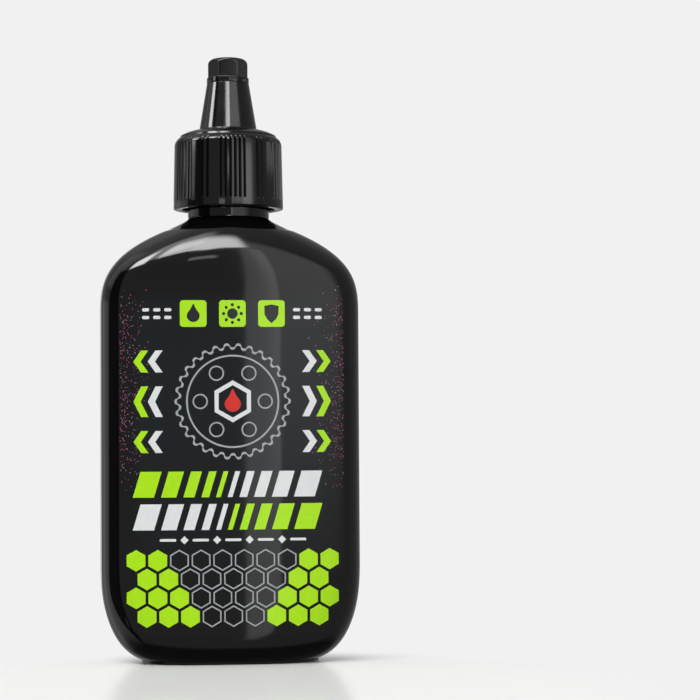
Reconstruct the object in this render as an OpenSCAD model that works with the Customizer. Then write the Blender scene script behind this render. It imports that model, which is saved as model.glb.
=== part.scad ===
// Squeeze bottle for chain lube: a flat oval blown bottle with a threaded neck,
// a ribbed cap moulded in one with its conical spout, and a small hexagonal cap
// that closes the tip. Millimetres, +Z up, front towards -Y. The origin is the
// middle of the foot, on the surface that the bottle stands on.

/* [Bottle body] */
// Width of the body between its sides
body_w = 55.2; // [50:0.2:62]
// Depth of the body from front to back
body_d = 28; // [25:0.2:34]
// Wall of the blown body
wall = 1; // [0.7:0.1:1.4]
// Squareness of the body's cross-section, where 2 is an ellipse
body_power = 4.4; // [3.4:0.1:5]
// Height at which the shoulders begin, seen from the front
shoulder_z = 73.6; // [68:0.2:78]
// Height of the foot of the neck, where the shoulders end
neck_z = 93.8; // [90:0.2:98]
// Fullness of the shoulder curve, seen from the front
shoulder_power = 3.09; // [2.2:0.01:3.6]
// Height of the shoulder curve, seen from the side
shoulder_side_h = 7.4; // [5:0.2:10]

/* [Bottle base] */
// Height of the big bottom corners, seen from the front
corner_h = 21.4; // [17:0.1:25]
// How far those corners would run in towards the middle
corner_in = 12.8; // [9:0.1:14]
// Fullness of the bottom corners
corner_power = 2.39; // [2:0.01:2.8]
// Radius of the bottom edge, seen from the side
edge_r = 5; // [4:0.1:6]
// Squareness of the foot's outline
foot_power = 3; // [2.4:0.1:3.4]
// Height of the foot rim
foot_h = 0.7; // [0.4:0.1:1.2]
// Step from the body in to the foot rim
foot_step = 0.25; // [0.1:0.05:0.5]
// Width of the foot rim that the bottle stands on
foot_rim = 2; // [1.5:0.1:3]
// Height by which the base is pushed up inside the foot rim
push_up = 0.8; // [0.4:0.1:1.2]

/* [Neck] */
// Outer diameter of the neck below the thread
neck_d = 17.5; // [17:0.1:18]
// Diameter of the mouth's bore
bore_d = 14.5; // [13.5:0.1:14.8]
// Height of the neck from its foot to its mouth
neck_h = 16; // [15.6:0.1:18]
// Diameter over the neck's thread
thread_d = 19.6; // [19.2:0.1:19.8]
// Rise of the neck's thread in one turn
thread_pitch = 3.175; // [3:0.025:3.2]
// Turns of the neck's thread, and of the cap's
thread_turns = 2; // [1.5:0.25:2]
// Radius of the fillet at the foot of the neck
neck_fillet = 0.5; // [0.3:0.1:0.8]

/* [Spout cap] */
// Diameter of the cap at the bottom of its skirt
cap_d = 23.7; // [23.4:0.1:25]
// Taper of the skirt: how much smaller it is across at its top
cap_taper = 0.56; // [0.2:0.02:0.8]
// Height of the skirt's lower edge above the foot of the neck
skirt_gap = 2.9; // [2.4:0.1:3.4]
// Height of the plain band below the grip
band_h = 1.7; // [1.2:0.1:2.4]
// Radius of the grip's rounded upper edge
grip_round = 1.9; // [1.4:0.1:2.2]
// Thickness of the cap's top where it meets its skirt
cap_top = 1.35; // [1.1:0.05:1.8]
// Height of the domed crown above the grip
crown_h = 2.1; // [1.6:0.1:2.6]
// Number of times that the grip pattern repeats around the cap
grip_sets = 6; // [4:1:6]
// Width of a grip groove
groove_w = 0.5; // [0.3:0.05:0.6]
// Depth of a grip groove
groove_deep = 0.35; // [0.2:0.05:0.45]
// Angle between neighbouring grooves in a group
groove_step = 4.9; // [4:0.1:5.2]

/* [Spout] */
// Diameter of the spout where it leaves the crown
spout_d = 12.5; // [11.5:0.1:13.5]
// Diameter of the spout at its top
spout_tip_d = 9.1; // [8.9:0.1:9.6]
// Height of the spout's cone
spout_h = 9.8; // [8:0.1:12]
// Wall of the spout
spout_wall = 1.3; // [1:0.1:1.5]
// Diameter of the outlet
outlet_d = 1.6; // [1:0.1:2]
// Diameter of the nozzle pin below its thread
pin_d = 4.8; // [4.6:0.1:5]
// Diameter over the nozzle pin's thread
pin_thread_d = 5.5; // [5.3:0.1:5.6]
// Height of the nozzle pin
pin_h = 4; // [3.8:0.1:4.4]
// Rise of the pin's thread in one turn
pin_pitch = 1.2; // [1.1:0.05:1.25]
// Turns of the pin's thread, and of the tip cap's
pin_turns = 1.5; // [1:0.25:1.5]

/* [Tip cap] */
// Width of the hexagon across its flats
hex_flats = 7.4; // [7.2:0.1:7.7]
// Height of the round collar under the hexagon
collar_h = 1.2; // [0.8:0.1:1.6]
// Thickness of the tip cap's top
tip_top = 0.9; // [0.7:0.1:1.2]
// Radius of the rounding on the hexagon's top
tip_round = 1.3; // [0.8:0.1:1.6]

/* [Liner, seal and label] */
// Thickness of the foam liner inside the cap
liner_t = 1; // [0.6:0.1:1.4]
// Thickness of the sealing disc inside the tip cap
seal_t = 0.5; // [0.3:0.1:0.7]
// Margin between the label's edge and the side of the body
label_margin = 3.9; // [3:0.1:8]
// Height of the label's lower edge
label_z = 6.2; // [6:0.1:12]
// Height of the label itself
label_h = 74.4; // [50:0.2:75]
// Radius of the label's corners
label_r = 3; // [1:0.1:4]
// Thickness of the label film
label_t = 0.12; // [0.08:0.01:0.2]

/* [Clearances] */
// Radial gap between a thread's crest and the root that faces it
thread_gap = 0.25; // [0.2:0.01:0.3]
// Gap between the flanks of the neck's thread and the cap's
flank_gap = 0.2; // [0.15:0.01:0.25]
// Gap between the flanks of the pin's thread and the tip cap's
pin_flank_gap = 0.1; // [0.06:0.01:0.12]
// Radial gap around the liner and the sealing disc
seat_gap = 0.15; // [0.1:0.01:0.2]
// Gap between the label film and the bottle
film_gap = 0.05; // [0.04:0.01:0.08]

/* [Hidden] */

// Facets of round shapes, and the steps of the lofted and swept ones
$fn = 96;
loft_sides = 48;
base_rings = 7;
shoulder_rings = 12;
label_columns = 24;
corner_rows = 4;
turn_steps = 24;
fade_steps = 3;
arc_steps = 6;
fillet_steps = 3;

// How far a ridge reaches into the wall that carries it
ridge_root = 0.3;
// Part of a fade step by which a ridge still stands up at its very end
ridge_end = 0.3;
// Rounding of small moulded edges
edge_round = 0.15;
// Overlap of solids that are joined, and overrun of cuts
lap = 0.5;

// The neck and what seats on it
neck_r = neck_d / 2;
bore_r = bore_d / 2;
mouth_z = neck_z + neck_h;
mouth_round = 0.4;
thread_r = thread_d / 2;
thread_start = 1.7;
thread_z = mouth_z - thread_start - thread_turns * thread_pitch;

// The cap, from its skirt up to its crown
cap_r = cap_d / 2;
grip_r = cap_r - cap_taper / 2;
skirt_z = neck_z + skirt_gap;
groove_z = skirt_z + band_h;
ceiling_z = mouth_z + liner_t;
crown_z = ceiling_z + cap_top;
grip_arc = 60;
grip_z = crown_z - grip_round * sin(grip_arc);
crown_r = grip_r - grip_round * (1 - cos(grip_arc)) - edge_round;
crown_bulge = 0.27;
spout_z = crown_z + crown_h;
socket_r = thread_r + thread_gap;
cap_crest_r = neck_r + thread_gap;
cap_thread_z = thread_z - thread_pitch / 2;

// The liner's hole stands in a little from the bore
liner_inset = 0.3;
liner_in_r = bore_r - liner_inset;

// The grip's groups of grooves, with a pair between each two groups. The first
// group stands a little to the right of the front.
group_grooves = 6;
pair_step = 6;
grip_front = -88;

// The spout and what closes it
spout_r = spout_d / 2;
spout_tip_r = spout_tip_d / 2;
spout_top_z = spout_z + spout_h;
outlet_r = outlet_d / 2;

// The spout's hollow narrows to a point inside the outlet, in a short cone
hollow_tip_r = outlet_r / 2;
hollow_cone_h = spout_wall;
pin_r = pin_d / 2;
pin_thread_r = pin_thread_d / 2;
pin_top_z = spout_top_z + pin_h;
pin_thread_start = 1.2;
pin_thread_z = pin_top_z - pin_thread_start - pin_turns * pin_pitch;
tip_gap = thread_gap / 2;
tip_socket_r = pin_thread_r + tip_gap;
tip_crest_r = pin_r + tip_gap;
tip_ceiling_z = pin_top_z + seal_t;
tip_top_z = tip_ceiling_z + tip_top;
tip_thread_z = pin_thread_z - pin_pitch / 2;
collar_z = spout_top_z + collar_h;
hex_r = hex_flats / 2 / cos(30);

label_top = label_z + label_h;

// Share of the way down a curve of height h that ends at level 0
function depth(z, h) = min(1, max(0, (h - z) / h));

// How far a bottom corner has run in at height z
function corner(z, h, inset, power) =
    inset * (1 - pow(1 - pow(depth(z, h), power), 1 / power));

// Share of the way up between two levels
function rise(z, z0, z1) = min(1, max(0, (z - z0) / (z1 - z0)));

// Radius at which the shoulders meet the neck's fillet
shoulder_r = neck_r + neck_fillet;

// Half width, half depth and squareness of the body at height z, with its
// surface moved inwards by t, or outwards where t is negative
function half_w(z, t) =
    z < shoulder_z
        ? body_w / 2 - t - corner(z - t, corner_h, corner_in, corner_power)
        : shoulder_r - t + (body_w / 2 - shoulder_r)
            * (1 - pow(rise(z, shoulder_z, neck_z - t), shoulder_power));
function half_d(z, t) =
    z < shoulder_z
        ? body_d / 2 - t - corner(z - t, edge_r, edge_r, 2)
        : shoulder_r - t + (body_d / 2 - shoulder_r)
            * sqrt(1 - pow(rise(z, neck_z - shoulder_side_h - t, neck_z - t), 2));
function power_at(z, t) =
    z < shoulder_z
        ? foot_power + (body_power - foot_power) * (1 - pow(depth(z, corner_h), 2))
        : 2 + (body_power - 2) * (1 - pow(rise(z, shoulder_z, neck_z - t), 2));

// One point of a cross-section with half sizes w and d, at the angle a
function signed_pow(v, p) = sign(v) * pow(abs(v), p);
function outline_point(a, w, d, p) =
    [w * signed_pow(cos(a), 2 / p), d * signed_pow(sin(a), 2 / p)];
function outline(w, d, p) =
    [for (i = [0:loft_sides - 1]) outline_point(360 * (i + 0.5) / loft_sides, w, d, p)];
function body_ring(z, t) =
    [for (p = outline(half_w(z, t), half_d(z, t), power_at(z, t))) [p.x, p.y, z]];

// Heights of the loft's rings, closer together where the outline bends most
function levels(bottom, t) = concat(
    [for (i = [0:base_rings]) bottom + (corner_h - bottom) * (1 - cos(90 * i / base_rings))],
    [for (i = [0:shoulder_rings])
        shoulder_z + (neck_z - t - shoulder_z) * sin(90 * i / shoulder_rings)]);

// Rings of the fillet that leads up into the neck
function fillet_rings() =
    [for (i = [1:fillet_steps - 1])
        let (a = 90 * i / fillet_steps)
        let (r = shoulder_r - neck_fillet * sin(a))
        [for (p = outline(r, r, 2)) [p.x, p.y, neck_z + neck_fillet * (1 - cos(a))]]];

// A closed skin over rings of points, all with the same number of points
module skin(rings) {
    n = len(rings[0]);
    last = len(rings) - 1;
    sides = [for (k = [0:last - 1], i = [0:n - 1])
        let (j = (i + 1) % n)
        each [
            [k * n + i, (k + 1) * n + i, (k + 1) * n + j],
            [k * n + i, (k + 1) * n + j, k * n + j]]];
    bottom = [[for (i = [0:n - 1]) i]];
    top = [[for (i = [0:n - 1]) last * n + n - 1 - i]];
    polyhedron([for (ring = rings) each ring], concat(sides, bottom, top), convexity = 6);
}

// The foot's outline, run in by a distance
module foot_outline(run_in) {
    w = half_w(foot_h, 0) - foot_step - run_in;
    d = half_d(foot_h, 0) - foot_step - run_in;
    polygon(outline(w, d, foot_power));
}

// Profile of a helical ridge at angle a: its corners as radius and height
function ridge_profile(root_r, crest_r, z, root_w, crest_w) =
    let (foot_r = root_r - sign(crest_r - root_r) * ridge_root)
    let (low = [[foot_r, z - root_w / 2], [crest_r, z - crest_w / 2]])
    let (high = [[foot_r, z + root_w / 2], [crest_r, z + crest_w / 2]])
    crest_r > root_r
        ? [low[0], high[0], high[1], low[1]]
        : [low[1], high[1], high[0], low[0]];

// A helical ridge that stands on a wall of radius root_r, outwards or inwards,
// and fades into it at both ends. It starts on the +X side, at height z0.
module ridge(root_r, crest_r, z0, pitch, turns, gap) {
    steps = ceil(turns * turn_steps);
    root_w = pitch / 2;
    crest_w = pitch / 2 - 2 * gap;
    skin([for (k = [0:steps])
        let (a = 360 * turns * k / steps)
        let (fade = min(1, (min(k, steps - k) + ridge_end) / fade_steps))
        let (crest = root_r + (crest_r - root_r) * fade)
        [for (p = ridge_profile(root_r, crest, z0 + pitch * a / 360, root_w, crest_w))
            [p[0] * cos(a), p[0] * sin(a), p[1]]]]);
}

// Points of an arc in the plane of a revolved profile
function arc(centre, r, from, to) =
    [for (i = [0:arc_steps])
        let (a = from + (to - from) * i / arc_steps)
        centre + r * [cos(a), sin(a)]];

// Points from p to q, bowed outwards by a small height
function bow(p, q, height) =
    let (along = q - p)
    let (out = [along.y, -along.x] / norm(along))
    [for (i = [0:arc_steps])
        let (s = i / arc_steps)
        p + along * s + out * 4 * height * s * (1 - s)];

module bottle() {
    color([0.07, 0.07, 0.08])
    difference() {
        union() {
            skin(concat([for (z = levels(foot_h, 0)) body_ring(z, 0)], fillet_rings()));
            linear_extrude(foot_h + lap) foot_outline(0);
            neck_tube();
            ridge(neck_r, thread_r, thread_z, thread_pitch, thread_turns, flank_gap);
        }
        skin([for (z = levels(push_up + wall, wall)) body_ring(z, wall)]);
        translate([0, 0, neck_z - wall - lap]) cylinder(h = neck_h + wall + 2 * lap, r = bore_r);
        translate([0, 0, -lap]) linear_extrude(push_up + lap) foot_outline(foot_rim);
    }
}

// The neck as a solid bar with a rounded rim; the bore is cut later
module neck_tube() {
    round_at = [neck_r - mouth_round, mouth_z - mouth_round];
    rotate_extrude()
        polygon(concat(
            [[0, neck_z - wall], [neck_r, neck_z - wall]],
            arc(round_at, mouth_round, 0, 90),
            [[0, mouth_z]]));
}

// Where the label's rows lie: its corners, and between them the body's rings
label_rows = concat(
    [for (i = [0:corner_rows]) label_z + label_r * (1 - cos(90 * i / corner_rows))],
    [for (z = levels(foot_h, 0)) if (z > label_z + label_r + lap && z < label_top - label_r - lap) z],
    [for (i = [0:corner_rows]) label_top - label_r * (1 - sin(90 * i / corner_rows))]);

// Half width of the label at height z, less what its corner takes away
function label_half_w(z) =
    let (inside = min(z - label_z, label_top - z))
    let (short = label_r - min(label_r, inside))
    half_w(z, 0) - label_margin - label_r + sqrt(label_r * label_r - short * short);

// One row of points across the front of the label, on a surface moved out by t
function label_row(z, t) =
    let (w = half_w(z, -t))
    let (p = power_at(z, -t))
    let (edge = acos(pow(label_half_w(z) / w, p / 2)))
    [for (i = [0:label_columns])
        let (a = 180 + edge + (180 - 2 * edge) * i / label_columns)
        let (q = outline_point(a, w, half_d(z, -t), p))
        [q.x, q.y, z]];

module label() {
    color([0.13, 0.15, 0.17])
    skin([for (z = label_rows)
        let (back = label_row(z, film_gap))
        concat(label_row(z, film_gap + label_t),
            [for (i = [0:label_columns]) back[label_columns - i]])]);
}

module liner() {
    color([0.9, 0.9, 0.88])
    translate([0, 0, mouth_z])
    difference() {
        cylinder(h = liner_t, r = socket_r - seat_gap);
        translate([0, 0, -lap]) cylinder(h = liner_t + 2 * lap, r = liner_in_r);
    }
}

module spout_cap() {
    color([0.1, 0.1, 0.11])
    difference() {
        union() {
            difference() {
                cap_outside();
                translate([0, 0, skirt_z - lap])
                    cylinder(h = ceiling_z - skirt_z + lap, r = socket_r);
                grip_grooves();
                spout_inside();
            }
            ridge(socket_r, cap_crest_r, cap_thread_z, thread_pitch, thread_turns, flank_gap);
            ridge(pin_r, pin_thread_r, pin_thread_z, pin_pitch, pin_turns, pin_flank_gap);
        }
        translate([0, 0, spout_top_z - spout_wall]) cylinder(h = pin_h + spout_wall + lap, r = outlet_r);
    }
}

// Skirt, rounded grip, domed crown, conical spout and nozzle pin, turned as one
module cap_outside() {
    rotate_extrude()
        polygon(concat(
            [[0, skirt_z], [cap_r - edge_round, skirt_z], [cap_r, skirt_z + edge_round]],
            arc([grip_r - grip_round, grip_z], grip_round, 0, grip_arc),
            bow([crown_r, crown_z], [spout_r, spout_z], crown_bulge),
            [[spout_tip_r, spout_top_z], [pin_r, spout_top_z]],
            [[pin_r, pin_top_z - edge_round], [pin_r - edge_round, pin_top_z], [0, pin_top_z]]));
}

// Grooves of the grip: groups of narrow ribs with plain lands between them
groove_angles = [for (s = [0:grip_sets - 1])
    let (middle = grip_front + 360 * s / grip_sets)
    each concat(
        [for (i = [0:group_grooves - 1]) middle + (i - (group_grooves - 1) / 2) * groove_step],
        [for (side = [-0.5, 0.5]) middle + 180 / grip_sets + side * pair_step])];

module grip_grooves() {
    lean = atan((cap_r - grip_r) / (grip_z - skirt_z));
    for (a = groove_angles)
        rotate([0, 0, a])
            translate([cap_r - groove_deep, -groove_w / 2, skirt_z])
                rotate([0, -lean, 0])
                    translate([0, 0, band_h]) cube([2 * lap + groove_deep, groove_w, crown_z - groove_z + lap]);
}

// The hollow of the spout, from the opening in the liner up to the pin
module spout_inside() {
    rotate_extrude()
        polygon([
            [0, ceiling_z - lap],
            [liner_in_r, ceiling_z - lap],
            [liner_in_r, ceiling_z],
            [spout_r - spout_wall, spout_z - cap_top],
            [spout_tip_r - spout_wall, spout_top_z - spout_wall - hollow_cone_h],
            [hollow_tip_r, spout_top_z - spout_wall],
            [0, spout_top_z - spout_wall]]);
}

module tip_seal() {
    color([0.9, 0.9, 0.88])
    translate([0, 0, pin_top_z]) cylinder(h = seal_t, r = tip_socket_r - seat_gap);
}

module tip_cap() {
    color([0.1, 0.1, 0.11])
    union() {
        difference() {
            union() {
                rotate_extrude()
                    polygon([
                        [0, spout_top_z], [spout_tip_r, spout_top_z],
                        [spout_tip_r, collar_z - edge_round], [spout_tip_r - edge_round, collar_z],
                        [0, collar_z]]);
                intersection() {
                    translate([0, 0, collar_z - lap])
                        cylinder(h = tip_top_z - collar_z + lap, r = hex_r, $fn = 6);
                    rotate_extrude()
                        polygon(concat(
                            [[0, spout_top_z], [hex_r + edge_round, spout_top_z]],
                            arc([hex_r + edge_round - tip_round, tip_top_z - tip_round], tip_round, 0, 90),
                            [[0, tip_top_z]]));
                }
            }
            translate([0, 0, spout_top_z - lap])
                cylinder(h = tip_ceiling_z - spout_top_z + lap, r = tip_socket_r);
        }
        ridge(tip_socket_r, tip_crest_r, tip_thread_z, pin_pitch, pin_turns, pin_flank_gap);
    }
}

bottle();
label();
liner();
spout_cap();
tip_seal();
tip_cap();
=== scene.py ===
"""Looks of a chain lube bottle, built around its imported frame.

The frame gives the levels and radii; this script adds the smooth moulded
skins, the threads, the printed front label and the finishes, and sets the
bottle on a pale glossy floor. Lengths in the sizes below are metres.
"""

import math

import bmesh
import bpy
import numpy as np
from bpy.props import FloatProperty, FloatVectorProperty, IntProperty, PointerProperty
from mathutils import Matrix, Vector


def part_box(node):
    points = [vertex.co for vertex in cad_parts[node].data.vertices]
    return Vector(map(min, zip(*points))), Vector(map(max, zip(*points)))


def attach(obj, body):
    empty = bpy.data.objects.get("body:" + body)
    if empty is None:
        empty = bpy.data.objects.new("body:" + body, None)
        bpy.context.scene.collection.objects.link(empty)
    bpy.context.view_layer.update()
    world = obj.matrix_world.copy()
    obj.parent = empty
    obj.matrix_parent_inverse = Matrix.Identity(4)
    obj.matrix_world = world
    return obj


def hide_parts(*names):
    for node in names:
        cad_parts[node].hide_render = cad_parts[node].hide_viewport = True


bl_info = {
    "name": "Chain Lube Bottle",
    "version": (1, 0, 0),
    "blender": (4, 5, 0),
    "location": "3D View > Sidebar > Bottle",
    "description": "Moulded skins, printed label and studio for a chain lube bottle",
    "category": "Object",
}

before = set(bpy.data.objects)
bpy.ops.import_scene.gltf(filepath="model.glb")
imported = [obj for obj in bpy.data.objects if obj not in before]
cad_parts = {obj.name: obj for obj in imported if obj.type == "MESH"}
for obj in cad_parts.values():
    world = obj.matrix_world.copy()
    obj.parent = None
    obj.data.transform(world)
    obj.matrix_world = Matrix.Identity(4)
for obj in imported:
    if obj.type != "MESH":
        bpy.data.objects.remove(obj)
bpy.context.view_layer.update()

MM = 0.001


# Levels and radii that the frame gives


def node_levels(node):
    """Lowest and highest level of a node, and its half width."""
    low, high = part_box(node)
    return low.z, high.z, (high.x - low.x) / 2


FOOT_Z, MOUTH_Z, BODY_HALF_W = node_levels("bottle")
SKIRT_Z, PIN_TOP_Z, CAP_R = node_levels("spout_cap")
CEILING_Z = node_levels("liner")[1]
SPOUT_TOP_Z, TIP_TOP_Z, COLLAR_R = node_levels("tip_cap")
SEAL_TOP_Z = node_levels("tip_seal")[1]
LABEL_Z, LABEL_TOP_Z, LABEL_HALF_W = node_levels("label")
BACK_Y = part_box("bottle")[1].y


def length(name, description, default):
    """A length property, in metres."""
    return FloatProperty(
        name=name, description=description, default=default, min=0.0, subtype="DISTANCE", unit="LENGTH"
    )


def share(name, description, default):
    """A plain number property."""
    return FloatProperty(name=name, description=description, default=default, min=0.0)


def colour(name, description, default):
    """A colour property, written as an sRGB hex value."""
    return FloatVectorProperty(
        name=name, description=description, default=linear(default)[:3], size=3, subtype="COLOR"
    )


def linear(hex_value):
    """An sRGB hex colour, such as 0xB2F200, as linear RGBA."""
    channels = [(hex_value >> shift & 255) / 255 for shift in (16, 8, 0)]
    return [c / 12.92 if c <= 0.04045 else ((c + 0.055) / 1.055) ** 2.4 for c in channels] + [1.0]


class BottleSizes(bpy.types.PropertyGroup):
    """Sizes of the blown bottle and its neck."""

    width: length("Width", "Width of the body", 55.2 * MM)
    depth: length("Depth", "Depth of the body", 2 * BACK_Y)
    wall: length("Wall", "Wall of the blown body", 1.0 * MM)
    squareness: share("Squareness", "Power of the body's oval, where 2 is an ellipse", 4.4)
    shoulder_z: length("Shoulder level", "Where the shoulders begin, seen from the front", 73.6 * MM)
    shoulder_power: share("Shoulder fullness", "Power of the shoulder curve", 3.09)
    shoulder_side: length("Side shoulder", "Height of the shoulder seen from the side", 12.0 * MM)
    neck_z: length("Neck level", "Foot of the neck", 93.8 * MM)
    neck_r: length("Neck radius", "Radius of the neck below its thread", 8.75 * MM)
    bore_r: length("Bore radius", "Radius of the mouth's bore", 7.25 * MM)
    neck_fillet: length("Neck fillet", "Gap between the neck and the shoulder curve's end", 0.5 * MM)
    flare_low: length("Flare foot", "From the neck's foot down to where its flare begins", 1.9 * MM)
    flare_high: length("Flare top", "From the neck's foot up to where its flare ends", 0.9 * MM)
    corner_h: length("Corner height", "Height of the big bottom corners", 21.4 * MM)
    corner_in: length("Corner run", "How far those corners run in", 12.8 * MM)
    corner_power: share("Corner fullness", "Power of the bottom corners", 2.39)
    edge_r: length("Bottom edge", "Radius of the bottom edge, seen from the side", 5.0 * MM)
    foot_power: share("Foot squareness", "Power of the foot's oval", 3.0)
    foot_h: length("Foot height", "Height of the foot rim", 0.7 * MM)
    foot_step: length("Foot step", "Step from the body in to the foot", 0.25 * MM)
    foot_rim: length("Foot rim", "Width of the rim that the bottle stands on", 2.0 * MM)
    push_up: length("Push-up", "How far the base is pushed up", 0.8 * MM)
    columns: IntProperty(name="Columns", description="Sides of the body's skin", default=288, min=48)


class CapSizes(bpy.types.PropertyGroup):
    """Sizes of the spout cap and the tip cap."""

    taper: length("Skirt taper", "How much narrower the skirt is at its top", 0.56 * MM)
    band: length("Plain band", "Height of the plain band under the grip", 1.7 * MM)
    grip_round: length("Grip rounding", "Radius of the grip's upper edge", 2.1 * MM)
    cap_top: length("Cap top", "Thickness of the top where it meets the skirt", 1.35 * MM)
    crown_h: length("Crown height", "Height of the domed crown", 1.65 * MM)
    crown_step: length("Crown step", "Height of the small step round the crown", 0.45 * MM)
    crown_bulge: length("Crown bulge", "How far the crown bows out", 0.3 * MM)
    groove_w: length("Groove width", "Width of a grip groove", 0.56 * MM)
    groove_deep: length("Groove depth", "Depth of a grip groove", 0.42 * MM)
    grip_sets: IntProperty(name="Grip sets", description="Repeats of the grip pattern", default=6, min=1)
    spout_r: length("Spout radius", "Radius of the spout at the crown", 6.25 * MM)
    spout_wall: length("Spout wall", "Wall of the spout", 1.3 * MM)
    socket_r: length("Socket radius", "Inner radius of the skirt", 10.05 * MM)
    pin_r: length("Pin radius", "Radius of the nozzle pin", 2.4 * MM)
    outlet_r: length("Outlet radius", "Radius of the outlet", 0.8 * MM)
    tip_socket_r: length("Tip socket", "Inner radius of the tip cap", 2.875 * MM)
    collar_h: length("Collar height", "Height of the tip cap's collar", 1.2 * MM)
    hex_flats: length("Hexagon", "Width across the hexagon's flats", 7.5 * MM)
    tip_round: length("Tip rounding", "Rounding of the hexagon's top", 1.75 * MM)


class ThreadSizes(bpy.types.PropertyGroup):
    """Sizes of the two pairs of threads."""

    pitch: length("Pitch", "Rise of the neck's thread in a turn", 3.175 * MM)
    turns: share("Turns", "Turns of the neck's thread", 2.0)
    crest_r: length("Crest radius", "Radius over the neck's thread", 9.8 * MM)
    start: length("Start", "From the mouth down to the neck thread's end", 1.7 * MM)
    gap: length("Thread gap", "Radial gap at the crests", 0.25 * MM)
    flank_gap: length("Flank gap", "Gap between the flanks", 0.2 * MM)
    pin_pitch: length("Pin pitch", "Rise of the pin's thread in a turn", 1.2 * MM)
    pin_turns: share("Pin turns", "Turns of the pin's thread", 1.5)
    pin_crest_r: length("Pin crest radius", "Radius over the pin's thread", 2.75 * MM)
    pin_start: length("Pin start", "From the pin's top down to its thread's end", 1.2 * MM)
    pin_flank_gap: length("Pin flank gap", "Gap between the pin thread's flanks", 0.1 * MM)


class LabelLook(bpy.types.PropertyGroup):
    """Size and inks of the printed front label."""

    margin: length("Margin", "From the label's edge to the side of the body", 3.9 * MM)
    corner_r: length("Corner radius", "Radius of the label's corners", 3.0 * MM)
    film: length("Film", "Thickness of the film", 0.12 * MM)
    gap: length("Gap", "Gap under the film", 0.05 * MM)
    ink: length("Ink", "Thickness of the printed ink", 0.02 * MM)
    ground: colour("Ground", "Charcoal ground of the print", 0x1B1F22)
    white: colour("White ink", "White ink", 0xE6E9E9)
    lime: colour("Lime ink", "Lime ink", 0xB0EC14)
    silver: colour("Silver ink", "Silver line ink", 0xA9AEB0)
    red: colour("Red ink", "Red accent", 0xD8281E)
    pink: colour("Pink ink", "Pink speckles", 0xC2408C)


GROUPS = {
    "lube_bottle": BottleSizes,
    "lube_caps": CapSizes,
    "lube_threads": ThreadSizes,
    "lube_label": LabelLook,
}


# Shape of the body, from the same rule as the frame's solid


def clip(value):
    return np.clip(value, 0.0, 1.0)


class BodyForm:
    """Half width, half depth and squareness of the body at any height."""

    def __init__(self, sizes):
        self.s = sizes
        self.neck_r = sizes.neck_r
        self.shoulder_r = sizes.neck_r + sizes.neck_fillet

    def corner(self, z, height, run_in, power):
        """How far a bottom corner has run in at height z."""
        down = clip((height - z) / height)
        return run_in * (1 - (1 - down**power) ** (1 / power))

    def half_w(self, z, inset):
        s = self.s
        up = clip((z - s.shoulder_z) / (s.neck_z - inset - s.shoulder_z))
        body = s.width / 2 - inset - self.corner(z - inset, s.corner_h, s.corner_in, s.corner_power)
        shoulder = self.shoulder_r - inset + (s.width / 2 - self.shoulder_r) * (1 - up**s.shoulder_power)
        return np.where(z < s.shoulder_z, body, shoulder)

    def half_d(self, z, inset):
        s = self.s
        start = s.neck_z - s.shoulder_side - inset
        up = clip((z - start) / (s.neck_z - inset - start))
        body = s.depth / 2 - inset - self.corner(z - inset, s.edge_r, s.edge_r, 2)
        shoulder = self.shoulder_r - inset + (s.depth / 2 - self.shoulder_r) * np.sqrt(1 - up**2)
        return np.where(z < s.shoulder_z, body, shoulder)

    def power(self, z, inset):
        s = self.s
        down = clip((s.corner_h - z) / s.corner_h)
        up = clip((z - s.shoulder_z) / (s.neck_z - inset - s.shoulder_z))
        body = s.foot_power + (s.squareness - s.foot_power) * (1 - down**2)
        return np.where(z < s.shoulder_z, body, 2 + (s.squareness - 2) * (1 - up**2))

    def front_y(self, x, z, out=0.0):
        """Depth of the front at x and z, on a surface moved out by a distance."""
        across = clip(np.abs(x) / self.half_w(z, -out))
        power = self.power(z, -out)
        return -self.half_d(z, -out) * (1 - across**power) ** (1 / power)

    def levels(self, inset, bottom, count):
        """Heights from the bottom to the neck's foot, evenly spaced along the outline."""
        z = np.linspace(bottom, self.s.neck_z - inset, 4001)
        steps = np.hypot(np.hypot(np.diff(z), np.diff(self.half_w(z, inset))), np.diff(self.half_d(z, inset)))
        along = np.concatenate(([0], np.cumsum(steps)))
        return np.interp(np.linspace(0, along[-1], count), along, z)


def column_shares(columns, seam):
    """Places round a quarter of an outline, from the side to the front or back."""
    even = np.linspace(0, 1, columns // 4 + 1)[:-1]
    return np.unique(np.concatenate(([0.0], seam, even[even > seam[-1] * 1.5])))


SEAM_SHARES = (0.0035, 0.007)


def oval(half_w, half_d, power, z, shares):
    """One ring of points round an oval, evenly spaced in each quarter."""
    angle = np.linspace(0, math.pi / 2, 721)
    x = half_w * np.abs(np.cos(angle)) ** (2 / power)
    y = half_d * np.sin(angle) ** (2 / power)
    x[-1] = 0
    along = np.concatenate(([0], np.cumsum(np.hypot(np.diff(x), np.diff(y)))))
    qx = np.interp(shares, along / along[-1], x)
    qy = np.interp(shares, along / along[-1], y)
    # A quarter runs from the side to the middle, and the next one back to the other side
    ring_x = np.concatenate((qx, [0.0], -qx[:0:-1], -qx, [0.0], qx[:0:-1]))
    ring_y = np.concatenate((qy, [half_d], qy[:0:-1], -qy, [-half_d], -qy[:0:-1]))
    return np.stack((ring_x, ring_y, np.full(len(ring_x), z)), axis=1)


# Meshes from rows of points


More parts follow.
